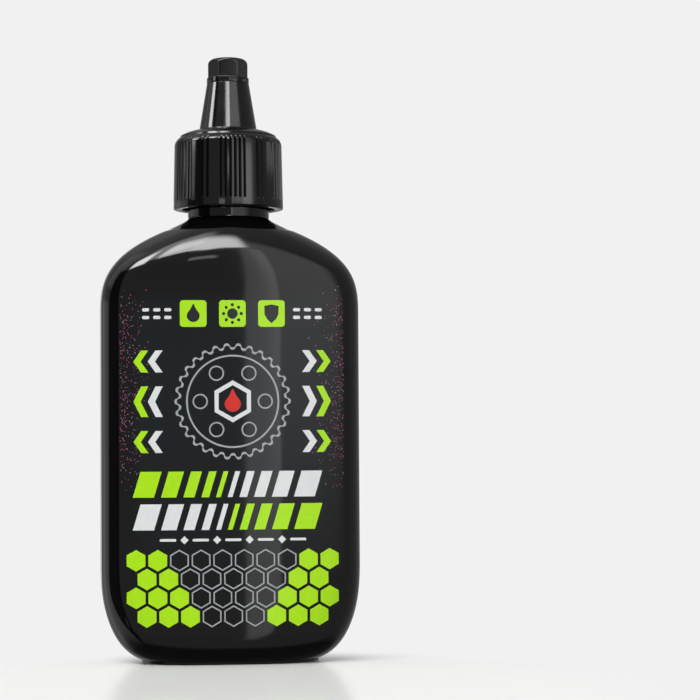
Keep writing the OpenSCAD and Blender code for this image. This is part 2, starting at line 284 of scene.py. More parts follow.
def skin(name, rings, first=None, last=None, loop=False):
    """A closed mesh over rows of points. Its ends close on points, or on each other."""
    rows, columns = len(rings), len(rings[0])
    verts = [tuple(p) for ring in rings for p in ring]
    faces = []
    for r in range(rows if loop else rows - 1):
        up = (r + 1) % rows
        for c in range(columns):
            n = (c + 1) % columns
            faces.append((r * columns + c, r * columns + n, up * columns + n, up * columns + c))
    if first is not None:
        verts.append(tuple(first))
        faces += [(len(verts) - 1, (c + 1) % columns, c) for c in range(columns)]
    if last is not None:
        verts.append(tuple(last))
        base = (rows - 1) * columns
        faces += [(len(verts) - 1, base + c, base + (c + 1) % columns) for c in range(columns)]
    return new_piece(name, verts, faces)


def new_piece(name, verts, faces, sharp_angle=None):
    """A smooth-shaded object whose place is in its mesh."""
    mesh = bpy.data.meshes.new(name)
    mesh.from_pydata(verts, [], faces)
    mesh.validate()
    piece = bpy.data.objects.new(name, mesh)
    bpy.context.scene.collection.objects.link(piece)
    shade(piece, sharp_angle)
    return piece


def shade(piece, sharp_angle=None):
    """Smooth shading, with edges sharper than an angle in degrees kept crisp."""
    mesh = piece.data
    mesh.shade_smooth()
    if sharp_angle is not None:
        mesh.set_sharp_from_angle(angle=math.radians(sharp_angle))


def rounded(corners, steps=6):
    """A profile through corners, each (radius, height, rounding), with arcs at the rounded ones."""
    points = []
    count = len(corners)
    for i, (r, z, rounding) in enumerate(corners):
        here = np.array((r, z))
        if rounding <= 0 or i in (0, count - 1):
            points.append(tuple(here))
            continue
        before = np.array(corners[i - 1][:2]) - here
        after = np.array(corners[i + 1][:2]) - here
        before, after = before / np.linalg.norm(before), after / np.linalg.norm(after)
        half = math.acos(max(-1, min(1, float(before @ after)))) / 2
        reach = rounding / math.tan(half)
        middle = here + (before + after) / np.linalg.norm(before + after) * rounding / math.sin(half)
        a, b = here + before * reach - middle, here + after * reach - middle
        turn = math.atan2(a[0] * b[1] - a[1] * b[0], float(a @ b))
        for k in range(steps + 1):
            t = turn * k / steps
            points.append(
                (
                    middle[0] + a[0] * math.cos(t) - a[1] * math.sin(t),
                    middle[1] + a[0] * math.sin(t) + a[1] * math.cos(t),
                )
            )
    return points


def turned(profile, angles):
    """Rings of points from a profile of (radius, height), turned through angles."""
    return [[(r * math.cos(a), r * math.sin(a), z) for a in angles] for r, z in profile]


# Materials


def new_material(name):
    """An empty node material with its output."""
    material = bpy.data.materials.new(name)
    material.use_nodes = True
    material.node_tree.nodes.clear()
    return material


def add(tree, kind, settings=None, links=None):
    """Adds a node. Settings are its properties; links set or feed its inputs by name or number."""
    node = tree.nodes.new(kind)
    for key, value in (settings or {}).items():
        setattr(node, key, value)
    for key, value in (links or {}).items():
        if isinstance(key, int):
            socket = node.inputs[key]
        else:
            socket = next(i for i in node.inputs if i.name == key and i.enabled)
        if isinstance(value, bpy.types.NodeSocket):
            tree.links.new(value, socket)
        else:
            socket.default_value = value
    return node


def finish_material(tree, shader):
    add(tree, "ShaderNodeOutputMaterial", links={"Surface": shader.outputs[0]})


def object_place(tree):
    """Object coordinates in millimetres."""
    place = add(tree, "ShaderNodeTexCoord").outputs["Object"]
    return add(tree, "ShaderNodeVectorMath", {"operation": "SCALE"}, {0: place, "Scale": 1 / MM}).outputs[0]


def blown_polyethylene():
    """Black high-density polyethylene, blown against a polished mould: a deep
    gloss whose reflections waver a little, over a faint fine orange peel."""
    material = new_material("black_blown_polyethylene")
    tree = material.node_tree
    place = object_place(tree)
    # Slow waves a few centimetres long, and a peel about 0.8 mm across
    wave = add(tree, "ShaderNodeTexNoise", links={"Vector": place, "Scale": 0.045, "Detail": 1.0})
    peel = add(tree, "ShaderNodeTexNoise", links={"Vector": place, "Scale": 1.3, "Detail": 2.0})
    slow = add(tree, "ShaderNodeBump", links={"Strength": 0.3, "Distance": 0.0002, "Height": wave.outputs["Fac"]})
    fine = add(
        tree,
        "ShaderNodeBump",
        links={
            "Strength": 0.05,
            "Distance": 0.00001,
            "Height": peel.outputs["Fac"],
            "Normal": slow.outputs["Normal"],
        },
    )
    scuff = add(tree, "ShaderNodeTexNoise", links={"Vector": place, "Scale": 0.2, "Detail": 5.0})
    rough = add(
        tree,
        "ShaderNodeMapRange",
        links={"Value": scuff.outputs["Fac"], "From Min": 0.3, "From Max": 0.7, "To Min": 0.05, "To Max": 0.075},
    )
    shader = add(
        tree,
        "ShaderNodeBsdfPrincipled",
        links={
            "Base Color": linear(0x070708),
            "Roughness": rough.outputs[0],
            "IOR": 1.5,
            "Normal": fine.outputs["Normal"],
        },
    )
    finish_material(tree, shader)
    return material


def moulded_polypropylene(name, hex_value, roughness):
    """Black polypropylene, injection moulded: a satin gloss with a fine grain of
    about 0.4 mm and slightly uneven sheen where the melt cooled."""
    material = new_material(name)
    tree = material.node_tree
    place = object_place(tree)
    grain = add(tree, "ShaderNodeTexNoise", links={"Vector": place, "Scale": 2.5, "Detail": 3.0})
    bump = add(tree, "ShaderNodeBump", links={"Strength": 0.025, "Distance": 0.00001, "Height": grain.outputs["Fac"]})
    cooling = add(tree, "ShaderNodeTexNoise", links={"Vector": place, "Scale": 0.25, "Detail": 4.0})
    rough = add(
        tree,
        "ShaderNodeMapRange",
        links={
            "Value": cooling.outputs["Fac"],
            "From Min": 0.3,
            "From Max": 0.7,
            "To Min": roughness * 0.85,
            "To Max": roughness * 1.15,
        },
    )
    shader = add(
        tree,
        "ShaderNodeBsdfPrincipled",
        links={
            "Base Color": linear(hex_value),
            "Roughness": rough.outputs[0],
            "IOR": 1.49,
            "Normal": bump.outputs["Normal"],
        },
    )
    finish_material(tree, shader)
    return material


def printed_film(look):
    """Charcoal print on glossy polypropylene film: near black at the top, a cool
    grey in the middle and darker at the foot, with a fine printed dot and the
    slow ripples of a film laid by machine."""
    material = new_material("charcoal_printed_film")
    tree = material.node_tree
    place = object_place(tree)
    parts = add(tree, "ShaderNodeSeparateXYZ", links={0: place}).outputs
    height = parts["Z"]
    share = add(
        tree,
        "ShaderNodeMapRange",
        links={"Value": height, "From Min": LABEL_Z / MM, "From Max": LABEL_TOP_Z / MM},
    )
    tone = add(tree, "ShaderNodeValToRGB", links={"Fac": share.outputs[0]})
    ramp = tone.color_ramp
    ramp.elements[0].position, ramp.elements[0].color = 0.0, linear(0x0B0B0B)
    ramp.elements[1].position, ramp.elements[1].color = 1.0, linear(0x0A0A0A)
    for position, value in ((0.08, 0x0C0C0C), (0.3, 0x101315), (0.62, 0x14191D), (0.93, 0x111619), (0.97, 0x0B0B0B)):
        ramp.elements.new(position).color = linear(value)
    # The blue-grey middle of the print fades to black towards both sides
    across = add(tree, "ShaderNodeMath", {"operation": "ABSOLUTE"}, {0: parts["X"]})
    side = add(
        tree,
        "ShaderNodeMapRange",
        {"interpolation_type": "SMOOTHSTEP"},
        {"Value": across.outputs[0], "From Min": 17.5, "From Max": 23.0},
    )
    shaded = add(
        tree,
        "ShaderNodeMix",
        {"data_type": "RGBA"},
        {"Factor": side.outputs[0], "A": tone.outputs["Color"], "B": linear(0x0B0A0A)},
    )
    # Printed dots are 0.1 mm, drawn here 0.35 mm apart so that they show
    dots = add(tree, "ShaderNodeTexVoronoi", links={"Vector": place, "Scale": 2.8})
    dot_tone = add(
        tree,
        "ShaderNodeMapRange",
        links={"Value": dots.outputs["Distance"], "From Min": 0.1, "From Max": 0.6, "To Min": 0.92, "To Max": 1.1},
    )
    ground = add(
        tree,
        "ShaderNodeVectorMath",
        {"operation": "SCALE"},
        {0: next(o for o in shaded.outputs if o.enabled), "Scale": dot_tone.outputs[0]},
    )
    ripple = add(tree, "ShaderNodeTexNoise", links={"Vector": place, "Scale": 0.06, "Detail": 1.0})
    bump = add(tree, "ShaderNodeBump", links={"Strength": 0.3, "Distance": 0.00012, "Height": ripple.outputs["Fac"]})
    shader = add(
        tree,
        "ShaderNodeBsdfPrincipled",
        links={
            "Base Color": ground.outputs[0],
            "Roughness": 0.05,
            "IOR": 1.49,
            "Normal": bump.outputs["Normal"],
        },
    )
    finish_material(tree, shader)
    return material


def printing_ink(name, tone, roughness=0.2, metallic=0.0):
    """Gloss printing ink: solid colour with the faint mottle of ink on film."""
    material = new_material(name)
    tree = material.node_tree
    place = object_place(tree)
    mottle = add(tree, "ShaderNodeTexNoise", links={"Vector": place, "Scale": 1.6, "Detail": 3.0})
    light = add(
        tree,
        "ShaderNodeMapRange",
        links={"Value": mottle.outputs["Fac"], "From Min": 0.3, "From Max": 0.7, "To Min": 0.97, "To Max": 1.02},
    )
    ink = add(tree, "ShaderNodeVectorMath", {"operation": "SCALE"}, {0: tuple(tone)[:3], "Scale": light.outputs[0]})
    bump = add(tree, "ShaderNodeBump", links={"Strength": 0.05, "Distance": 0.00002, "Height": mottle.outputs["Fac"]})
    shader = add(
        tree,
        "ShaderNodeBsdfPrincipled",
        links={
            "Base Color": ink.outputs[0],
            "Roughness": roughness,
            "Metallic": metallic,
            "IOR": 1.5,
            "Normal": bump.outputs["Normal"],
        },
    )
    finish_material(tree, shader)
    return material


def foamed_polyethylene():
    """White polyethylene foam, cut from sheet: matt, with cells about 0.25 mm across and painted shade in the cells'
    hollows.
    """
    material = new_material("white_foamed_polyethylene")
    tree = material.node_tree
    place = object_place(tree)
    cells = add(tree, "ShaderNodeTexVoronoi", links={"Vector": place, "Scale": 4.0})
    bump = add(tree, "ShaderNodeBump", links={"Strength": 0.4, "Distance": 0.00008, "Height": cells.outputs["Distance"]})
    # The tone follows the bump's height: the cells' hollows are painted darker as painted shade, and the walls
    # between them stay pale.
    tone = add(tree, "ShaderNodeValToRGB", links={"Fac": cells.outputs["Distance"]})
    tone.color_ramp.elements[0].color = linear(0xD2D2CC)
    tone.color_ramp.elements[1].color = linear(0xECECE6)
    shader = add(
        tree,
        "ShaderNodeBsdfPrincipled",
        links={
            "Base Color": tone.outputs["Color"],
            "Roughness": 0.65,
            "IOR": 1.5,
            "Normal": bump.outputs["Normal"],
        },
    )
    finish_material(tree, shader)
    return material


# Helical threads, grown along a spiral by Geometry Nodes


# Radius of the edges along a thread's ridge
RIDGE_EDGE = 0.12 * MM


def thread_tree():
    """A node tree that sweeps a trapezoid along a helix, fading in at both ends."""
    tree = bpy.data.node_groups.new("Helical thread", "GeometryNodeTree")
    face = tree.interface
    sockets = {}
    for name, kind, default in (
        ("Root radius", "NodeSocketFloat", 0.01),
        ("Root height", "NodeSocketFloat", 0.0),
        ("Pitch", "NodeSocketFloat", 0.003),
        ("Turns", "NodeSocketFloat", 2.0),
        ("Ridge height", "NodeSocketFloat", 0.001),
        ("Root depth", "NodeSocketFloat", 0.0003),
        ("Root width", "NodeSocketFloat", 0.0015),
        ("Crest width", "NodeSocketFloat", 0.001),
        ("Side", "NodeSocketFloat", 1.0),
        ("Steps", "NodeSocketInt", 96),
        ("Fade", "NodeSocketFloat", 0.08),
    ):
        socket = face.new_socket(name=name, in_out="INPUT", socket_type=kind)
        socket.default_value = default
        sockets[name] = socket
    sockets["Material"] = face.new_socket(name="Material", in_out="INPUT", socket_type="NodeSocketMaterial")
    face.new_socket(name="Geometry", in_out="OUTPUT", socket_type="NodeSocketGeometry")
    given = add(tree, "NodeGroupInput").outputs
    rise = add(tree, "ShaderNodeMath", {"operation": "MULTIPLY"}, {0: given["Pitch"], 1: given["Turns"]})
    helix = add(
        tree,
        "GeometryNodeCurveSpiral",
        links={
            "Resolution": given["Steps"],
            "Rotations": given["Turns"],
            "Start Radius": given["Root radius"],
            "End Radius": given["Root radius"],
            "Height": rise.outputs[0],
        },
    )
    lift = add(tree, "ShaderNodeCombineXYZ", links={"Z": given["Root height"]})
    raised = add(
        tree, "GeometryNodeTransform", links={"Geometry": helix.outputs["Curve"], "Translation": lift.outputs[0]}
    )
    level = add(tree, "GeometryNodeSetCurveNormal", {"mode": "Z_UP"}, {"Curve": raised.outputs[0]})
    along = add(tree, "GeometryNodeSplineParameter").outputs["Factor"]
    back = add(tree, "ShaderNodeMath", {"operation": "SUBTRACT"}, {0: 1.0, 1: along})
    near = add(tree, "ShaderNodeMath", {"operation": "MINIMUM"}, {0: along, 1: back.outputs[0]})
    fade = add(
        tree,
        "ShaderNodeMapRange",
        {"interpolation_type": "SMOOTHSTEP"},
        {"Value": near.outputs[0], "From Max": given["Fade"], "To Min": 0.08, "To Max": 1.0},
    )
    faded = add(
        tree, "GeometryNodeSetCurveRadius", links={"Curve": level.outputs[0], "Radius": fade.outputs[0]}
    )
    tall = add(tree, "ShaderNodeMath", {"operation": "ADD"}, {0: given["Ridge height"], 1: given["Root depth"]})
    section = add(
        tree,
        "GeometryNodeCurvePrimitiveQuadrilateral",
        {"mode": "TRAPEZOID"},
        {
            "Height": tall.outputs[0],
            "Bottom Width": given["Root width"],
            "Top Width": given["Crest width"],
            "Offset": 0.0,
        },
    )
    half = add(tree, "ShaderNodeMath", {"operation": "MULTIPLY"}, {0: tall.outputs[0], 1: 0.5})
    out = add(tree, "ShaderNodeMath", {"operation": "SUBTRACT"}, {0: half.outputs[0], 1: given["Root depth"]})
    shift = add(tree, "ShaderNodeCombineXYZ", links={"Y": out.outputs[0]})
    stood = add(
        tree, "GeometryNodeTransform", links={"Geometry": section.outputs[0], "Translation": shift.outputs[0]}
    )
    sides = add(tree, "ShaderNodeCombineXYZ", links={"X": 1.0, "Y": given["Side"], "Z": 1.0})
    facing = add(tree, "GeometryNodeTransform", links={"Geometry": stood.outputs[0], "Scale": sides.outputs[0]})
    soft = add(
        tree,
        "GeometryNodeFilletCurve",
        links={"Curve": facing.outputs[0], "Radius": RIDGE_EDGE},
    )
    swept = add(
        tree,
        "GeometryNodeCurveToMesh",
        links={"Curve": faded.outputs[0], "Profile Curve": soft.outputs[0], "Fill Caps": True},
    )
    radius = add(tree, "GeometryNodeInputRadius")
    tree.links.new(radius.outputs[0], swept.inputs["Scale"])
    real = add(tree, "GeometryNodeRealizeInstances", links={"Geometry": swept.outputs[0]})
    dressed = add(
        tree, "GeometryNodeSetMaterial", links={"Geometry": real.outputs[0], "Material": given["Material"]}
    )
    add(tree, "NodeGroupOutput", links={0: dressed.outputs[0]})
    return tree, {name: socket.identifier for name, socket in sockets.items()}


def grown(name, tree, identifiers, values, material, base=None):
    """A plain mesh object made by running a node tree with the given inputs."""
    mesh = base or bpy.data.meshes.new(name)
    piece = bpy.data.objects.new(name, mesh)
    bpy.context.scene.collection.objects.link(piece)
    modifier = piece.modifiers.new("Grow", "NODES")
    modifier.node_group = tree
    for key, value in values.items():
        modifier[identifiers[key]] = value
    modifier[identifiers["Material"]] = material
    depsgraph = bpy.context.evaluated_depsgraph_get()
    baked = bpy.data.meshes.new_from_object(piece.evaluated_get(depsgraph), depsgraph=depsgraph)
    piece.modifiers.remove(modifier)
    piece.data = baked
    baked.name = name
    outward(piece)
    return piece


def outward(piece):
    """Merges doubled points and turns every face outwards."""
    work = bmesh.new()
    work.from_mesh(piece.data)
    bmesh.ops.remove_doubles(work, verts=work.verts, dist=1e-7)
    bmesh.ops.recalc_face_normals(work, faces=work.faces)
    work.to_mesh(piece.data)
    work.free()


def dress(piece, material):
    piece.data.materials.clear()
    piece.data.materials.append(material)


THREAD = {}


def thread(name, root_r, crest_r, start_z, pitch, turns, flank_gap, material):
    """A moulded thread on a wall, outwards or inwards."""
    if not THREAD:
        THREAD["tree"], THREAD["ids"] = thread_tree()
    values = {
        "Root radius": root_r,
        "Root height": start_z,
        "Pitch": pitch,
        "Turns": turns,
        "Ridge height": abs(crest_r - root_r),
        "Root depth": 0.3 * MM,
        "Root width": pitch / 2,
        "Crest width": pitch / 2 - 2 * flank_gap,
        "Side": 1.0 if crest_r > root_r else -1.0,
        "Steps": 96,
        "Fade": 0.12 / turns,
    }
    piece = grown(name, THREAD["tree"], THREAD["ids"], values, material)
    shade(piece, 40)
    return piece


# Pieces


def settings(key):
    return getattr(bpy.context.scene, key)


def flare(form, low, high):
    """Rows of the concave flare between the shoulder at one height and the neck at another."""
    heights = np.linspace(low, high, 12)
    step = 0.05 * MM
    spans = []
    for half in (form.half_w, form.half_d):
        start = float(half(low, 0))
        slope = (start - float(half(low - step, 0))) / step
        # The bend of the curve lies where the shoulder's tangent meets the neck's wall
        bend = min(low + (form.neck_r - start) / slope, high - 0.3 * MM)
        t = np.linspace(0, 1, 60)
        r = (1 - t) ** 2 * start + (2 * t * (1 - t) + t**2) * form.neck_r
        z = (1 - t) ** 2 * low + 2 * t * (1 - t) * bend + t**2 * high
        spans.append(np.interp(heights, z, r))
    return [(w, d, 2, z, 0.0) for w, d, z in zip(*spans, heights)]


def bottle_profile(sizes, form):
    """Rows of the bottle's skin, from the middle of its base, up and over the
    mouth, and down inside: (half width, half depth, squareness, height, seam)."""
    foot_w = float(form.half_w(sizes.foot_h, 0)) - sizes.foot_step
    foot_d = float(form.half_d(sizes.foot_h, 0)) - sizes.foot_step
    rim = sizes.foot_rim
    rows = []
    roof = 1 - (rim + 1.2 * MM) / foot_d
    for share_out in np.linspace(0.06, 1, 16)[:-1]:
        rows.append(
            (
                (foot_w - rim - 1.2 * MM) * share_out,
                foot_d * roof * share_out,
                sizes.foot_power,
                sizes.push_up - 0.1 * MM * share_out**2,
                0.0,
            )
        )
    base = rounded(
        [
            (-rim - 1.2 * MM, sizes.push_up - 0.1 * MM, 0),
            (-rim - 0.25 * MM, sizes.push_up - 0.1 * MM, 0.45 * MM),
            (-rim, 0.0, 0.3 * MM),
            (0.0, 0.0, 0.3 * MM),
            (0.0, sizes.foot_h, 0.1 * MM),
            (sizes.foot_step, sizes.foot_h, 0),
        ],
        5,
    )
    rows += [(foot_w + o, foot_d + o, sizes.foot_power, z, 0.0) for o, z in base[:-1]]
    for z in form.levels(0, sizes.foot_h, 170):
        seam = float(clip((z - 1.5 * MM) / (2 * MM)) * clip((sizes.neck_z - z) / (2 * MM)))
        rows.append((float(form.half_w(z, 0)), float(form.half_d(z, 0)), float(form.power(z, 0)), z, seam))
    top = form.neck_r
    rise = sizes.neck_z
    rows = [row for row in rows if row[3] < rise - sizes.flare_low]
    rows += flare(form, rise - sizes.flare_low, rise + sizes.flare_high)
    neck = [(top, z, 0) for z in np.linspace(rise + sizes.flare_high + 0.3 * MM, MOUTH_Z - 1.0 * MM, 10)]
    neck += [
        (top, MOUTH_Z, 0.4 * MM),
        (sizes.bore_r, MOUTH_Z, 0.25 * MM),
        (sizes.bore_r, rise - sizes.wall, 0.3 * MM),
        (form.shoulder_r - sizes.wall, rise - sizes.wall, 0),
    ]
    rows += [(r, r, 2, z, 0.0) for r, z in rounded(neck, 5)]
    inside = form.levels(sizes.wall, sizes.push_up + sizes.wall, 70)[::-1][1:]
    for z in inside:
        w, d = float(form.half_w(z, sizes.wall)), float(form.half_d(z, sizes.wall))
        rows.append((w, d, float(form.power(z, sizes.wall)), z, 0.0))
    w, d, power, z = rows[-1][:4]
    rows += [(w * k, d * k, power, z, 0.0) for k in (0.85, 0.6, 0.35, 0.12)]
    return rows


def build_bottle(sizes):
    """The blown bottle as one closed skin, inside and out."""
    form = BodyForm(sizes)
    shares = column_shares(sizes.columns, SEAM_SHARES)
    rings = []
    for w, d, power, z, seam in bottle_profile(sizes, form):
        ring = oval(w, d, power, z, shares)
        # The two halves of the mould leave a fine line down both sides
        side = len(ring) // 2
        for index, sign in ((0, 1), (side, -1)):
            ring[index, 0] += sign * 0.05 * MM * seam
            ring[index - 1, 0] += sign * 0.02 * MM * seam
            ring[(index + 1) % len(ring), 0] += sign * 0.02 * MM * seam
        rings.append(ring)
    first = (0, 0, sizes.push_up)
    last = (0, 0, sizes.push_up + sizes.wall)
    return skin("bottle_body", rings, first, last)


def groove_angles(sizes):
    """Middles of the grip's grooves: groups of six, with a pair between them."""
    turn = 360 / sizes.grip_sets
    angles = []
    for s in range(sizes.grip_sets):
        middle = -88 + turn * s
        angles += [middle + (i - 2.5) * 4.9 for i in range(6)]
        angles += [middle + turn / 2 - 3, middle + turn / 2 + 3]
    return sorted(a % 360 for a in angles)


def grip_columns(sizes):
    """Angles of the cap's columns, and how deep each one lies in a groove."""
    edge = math.degrees(sizes.groove_w / 2 / CAP_R)
    bevel = math.degrees(0.07 * MM / CAP_R)
    stations = []
    for middle in groove_angles(sizes):
        for side in (-1, 1):
            stations.append((middle + side * (edge + 1.6 * bevel), 0.0))
            stations.append((middle + side * (edge + 0.4 * bevel), 0.0))
            stations.append((middle + side * (edge - 0.5 * bevel), 0.28))
        stations.append((middle, 1.0))
    stations.sort()
    filled = []
    for i, (a, deep) in enumerate(stations):
        filled.append((a, deep))
        after = stations[(i + 1) % len(stations)][0] + (360 if i == len(stations) - 1 else 0)
        extra = int((after - a) / 1.25)
        filled += [(a + (after - a) * k / (extra + 1), 0.0) for k in range(1, extra + 1)] if deep == 0 else []
    return [math.radians(a) for a, _ in filled], [deep for _, deep in filled]


def cap_rows(sizes, bore_r):
    """Profile rows of the spout cap: (radius, height, 1 where the grip's grooves cut)."""
    top_z = CEILING_Z + sizes.cap_top
    arc = math.radians(58)
    grip_z = top_z - sizes.grip_round * math.sin(arc)
    grip_r = CAP_R - sizes.taper / 2
    groove_z = SKIRT_Z + sizes.band
    crown_z = top_z + sizes.crown_h

    def line_r(z):
        return CAP_R - sizes.taper / 2 * (z - SKIRT_Z) / (grip_z - SKIRT_Z)

    skirt = rounded(
        [
            (sizes.socket_r, SKIRT_Z + 2 * MM, 0),
            (sizes.socket_r, SKIRT_Z, 0.3 * MM),
            (CAP_R, SKIRT_Z, 0.3 * MM),
            (line_r(SKIRT_Z + 1.4 * MM), SKIRT_Z + 1.4 * MM, 0),
        ],
        5,
    )
    rows = [(r, z, 0) for r, z in skirt]
    grip_levels = [groove_z + up * MM for up in (-0.03, 0.0, 0.12, 0.16, 0.6)]
    grip_levels += list(np.linspace(groove_z + 1.5 * MM, grip_z - 0.6 * MM, 8))
    rows += [(line_r(z), z, 1) for z in grip_levels]
    for a in np.linspace(0, arc, 15):
        r = grip_r - sizes.grip_round * (1 - math.cos(a))
        rows.append((r, grip_z + sizes.grip_round * math.sin(a), 1))
    edge_r, edge_z = rows[-1][:2]
    step_r, step_z = edge_r - sizes.crown_step * 0.5, edge_z + sizes.crown_step
    start, end = np.array((step_r, step_z)), np.array((sizes.spout_r, crown_z))
    along = end - start
    out = np.array((along[1], -along[0])) / np.linalg.norm(along)
    dome = [start + along * t + out * 4 * sizes.crown_bulge * t * (1 - t) for t in np.linspace(0, 0.93, 12)]
    ledge = rounded(
        [
            (edge_r, edge_z, 0),
            (edge_r - 0.08 * MM, edge_z, 0.05 * MM),
            (step_r, step_z, 0.25 * MM),
            (*dome[1], 0),
        ],
        5,
    )
    crown = ledge[1:] + dome[2:]
    rows += [(float(r), float(z), 0) for r, z in crown]
    tip_z = SPOUT_TOP_Z
    wall = sizes.spout_wall
    spout = rounded(
        [
            (float(crown[-1][0]), float(crown[-1][1]), 0),
            (sizes.spout_r, crown_z, 0.35 * MM),
            (COLLAR_R, tip_z, 0.12 * MM),
            (sizes.pin_r, tip_z, 0.2 * MM),
            (sizes.pin_r, PIN_TOP_Z, 0.25 * MM),
            (sizes.outlet_r, PIN_TOP_Z, 0.2 * MM),
            (sizes.outlet_r, tip_z - wall, 0.1 * MM),
            (COLLAR_R - wall, tip_z - 2 * wall, 0.4 * MM),
            (sizes.spout_r - wall, crown_z - sizes.cap_top, 0.8 * MM),
            (bore_r - 0.3 * MM, CEILING_Z, 0.1 * MM),
            (sizes.socket_r, CEILING_Z, 0.3 * MM),
            (sizes.socket_r, SKIRT_Z + 4 * MM, 0),
        ],
        5,
    )
    rows += [(r, z, 0) for r, z in spout[1:]]
    return rows, line_r, groove_z


def build_spout_cap(sizes, bore_r):
    """The grooved skirt, domed crown, conical spout and nozzle pin, moulded in one."""
    angles, deep = grip_columns(sizes)
    rows, line_r, groove_z = cap_rows(sizes, bore_r)
    rings = []
    for r, z, grooved in rows:
        ring = []
        for a, cut in zip(angles, deep):
            reach = r
            if grooved and cut:
                down = float(clip((z - groove_z) / (0.12 * MM)))
                reach = min(r, line_r(z) - sizes.groove_deep * cut * down)
            ring.append((reach * math.cos(a), reach * math.sin(a), z))
        rings.append(ring)
    piece = skin("spout_cap_shell", rings, loop=True)
    shade(piece, 38)
    return piece


def hexagon_r(angle, flats):
    """Radius of a hexagon with slightly rounded corners, one flat facing the front."""
    total = 0.0
    for k in range(6):
        total += max(0.0, math.cos(angle - math.radians(30 + 60 * k))) ** 56
    return flats / 2 / total ** (1 / 56)


def build_tip_cap(sizes):
    """The small hexagonal cap with its collar, as one closed skin."""
    hex_r = sizes.hex_flats / 2 / math.cos(math.radians(30))
    collar_z = SPOUT_TOP_Z + sizes.collar_h
    angles = [2 * math.pi * k / 240 for k in range(240)]
    rings = [[(r * math.cos(a), r * math.sin(a), SEAL_TOP_Z) for a in angles] for r in (0.6 * MM, 1.8 * MM)]
    inside = rounded(
        [
            (1.8 * MM, SEAL_TOP_Z, 0),
            (sizes.tip_socket_r, SEAL_TOP_Z, 0.15 * MM),
            (sizes.tip_socket_r, SPOUT_TOP_Z, 0.12 * MM),
            (COLLAR_R, SPOUT_TOP_Z, 0.14 * MM),
            (COLLAR_R, collar_z, 0.16 * MM),
            (COLLAR_R - 0.17 * MM, collar_z, 0),
        ],
        5,
    )
    rings += turned(inside[1:], angles)
    hexes = [hexagon_r(a, sizes.hex_flats) for a in angles]
    # A small fillet leads from the collar's ledge up into the flats
    for a in np.radians((0, 30, 60, 90)):
        grow, up = 0.12 * MM * (1 - math.sin(a)), 0.12 * MM * (1 - math.cos(a))
        reaches = [min(r + grow, COLLAR_R - 0.18 * MM) for r in hexes]
        rings.append([(r * math.cos(t), r * math.sin(t), collar_z + up) for r, t in zip(reaches, angles)])
    low_z = TIP_TOP_Z - sizes.tip_round
    levels = [(hex_r + 0.15 * MM, z) for z in np.linspace(collar_z + 0.4 * MM, low_z, 6)]
    for a in np.radians(np.linspace(4, 90, 22)):
        levels.append(
            (hex_r + 0.15 * MM - sizes.tip_round * (1 - math.cos(a)), low_z + sizes.tip_round * math.sin(a))
        )
    for limit, z in levels:
        ring = []
        for r, t in zip(hexes, angles):
            reach = (r**-50 + limit**-50) ** (-1 / 50)
            ring.append((reach * math.cos(t), reach * math.sin(t), z))
        rings.append(ring)
    rim = rings[-1]
    for part in (0.8, 0.55, 0.20625, 0.02578125):
        rings.append([(x * part, y * part, z) for x, y, z in rim])
    piece = skin("tip_cap_shell", rings, (0, 0, SEAL_TOP_Z), (0, 0, TIP_TOP_Z))
    shade(piece, 32)
    return piece


class LabelForm:
    """Outline of the label, and how flat artwork is laid on the body's front."""

    def __init__(self, look, form):
        self.look = look
        self.form = form

    def half_w(self, z):
        """Half width of the label at height z, rounded at its corners."""
        inside = np.minimum(z - LABEL_Z, LABEL_TOP_Z - z)
        r = self.look.corner_r
        short = r - np.minimum(r, np.maximum(inside, 0))
        return self.form.half_w(z, 0) - self.look.margin - r + np.sqrt(np.maximum(r * r - short * short, 0))

    def point(self, x, z, out):
        """A point of the artwork, x across and z up, a distance above the body."""
        return (float(x), float(self.form.front_y(x, z, out)), float(z))


def build_label(look, form):
    """The film itself, a closed thin sheet bent round the body's front."""
    label = LabelForm(look, form)
    r = look.corner_r
    turn = np.linspace(0, math.pi / 2, 13)
    low = LABEL_Z + r * (1 - np.cos(turn))
    middle = np.linspace(LABEL_Z + r, LABEL_TOP_Z - r, 110)[1:-1]
    high = LABEL_TOP_Z - r * (1 - np.sin(turn))
    levels = np.concatenate((low, middle, high))
    levels[0] += 0.002 * MM
    levels[-1] -= 0.002 * MM
    across = np.linspace(-1, 1, 121)
    across = np.sin(across * 1.25) / math.sin(1.25)
    rings = []
    for z in levels:
        w = float(label.half_w(z))
        front = [label.point(x * w, z, look.gap + look.film) for x in across]
        back = [label.point(x * w, z, look.gap) for x in across[::-1]]
        rings.append(front + back)
    rows, columns = len(rings), len(rings[0])
    verts = [p for ring in rings for p in ring]
    faces = []
    for i in range(rows - 1):
        for c in range(columns):
            n = (c + 1) % columns
            faces.append((i * columns + c, i * columns + n, (i + 1) * columns + n, (i + 1) * columns + c))
    half = columns // 2
    for row, order in ((0, 1), (rows - 1, -1)):
        for c in range(half - 1):
            near, far = row * columns + c, row * columns + columns - 1 - c
            faces.append((near, far, far - 1, near + 1)[::order])
    piece = new_piece("label_film", verts, faces)
    outward(piece)
    shade(piece, 60)
    return piece


# Artwork of the label, drawn flat in millimetres: x across from the middle, z up


def slanted(x, z, width, height, lean=0.3):
    """A slanted bar whose foot's left corner is at x, z."""
    return [(x, z), (x + width, z), (x + width + lean * height, z + height), (x + lean * height, z + height)]


def disc(x, z, r, sides=32, turn=0.0):
    """A circle, or with few sides a regular polygon."""
    angles = [turn + 2 * math.pi * k / sides for k in range(sides)]
    return [(x + r * math.cos(a), z + r * math.sin(a)) for a in angles]


def ring(x, z, r, line, sides=40, turn=0.0):
    """Outline and hole of a drawn circle, its line inside the radius."""
    return [disc(x, z, r, sides, turn), disc(x, z, r - line, sides, turn)]


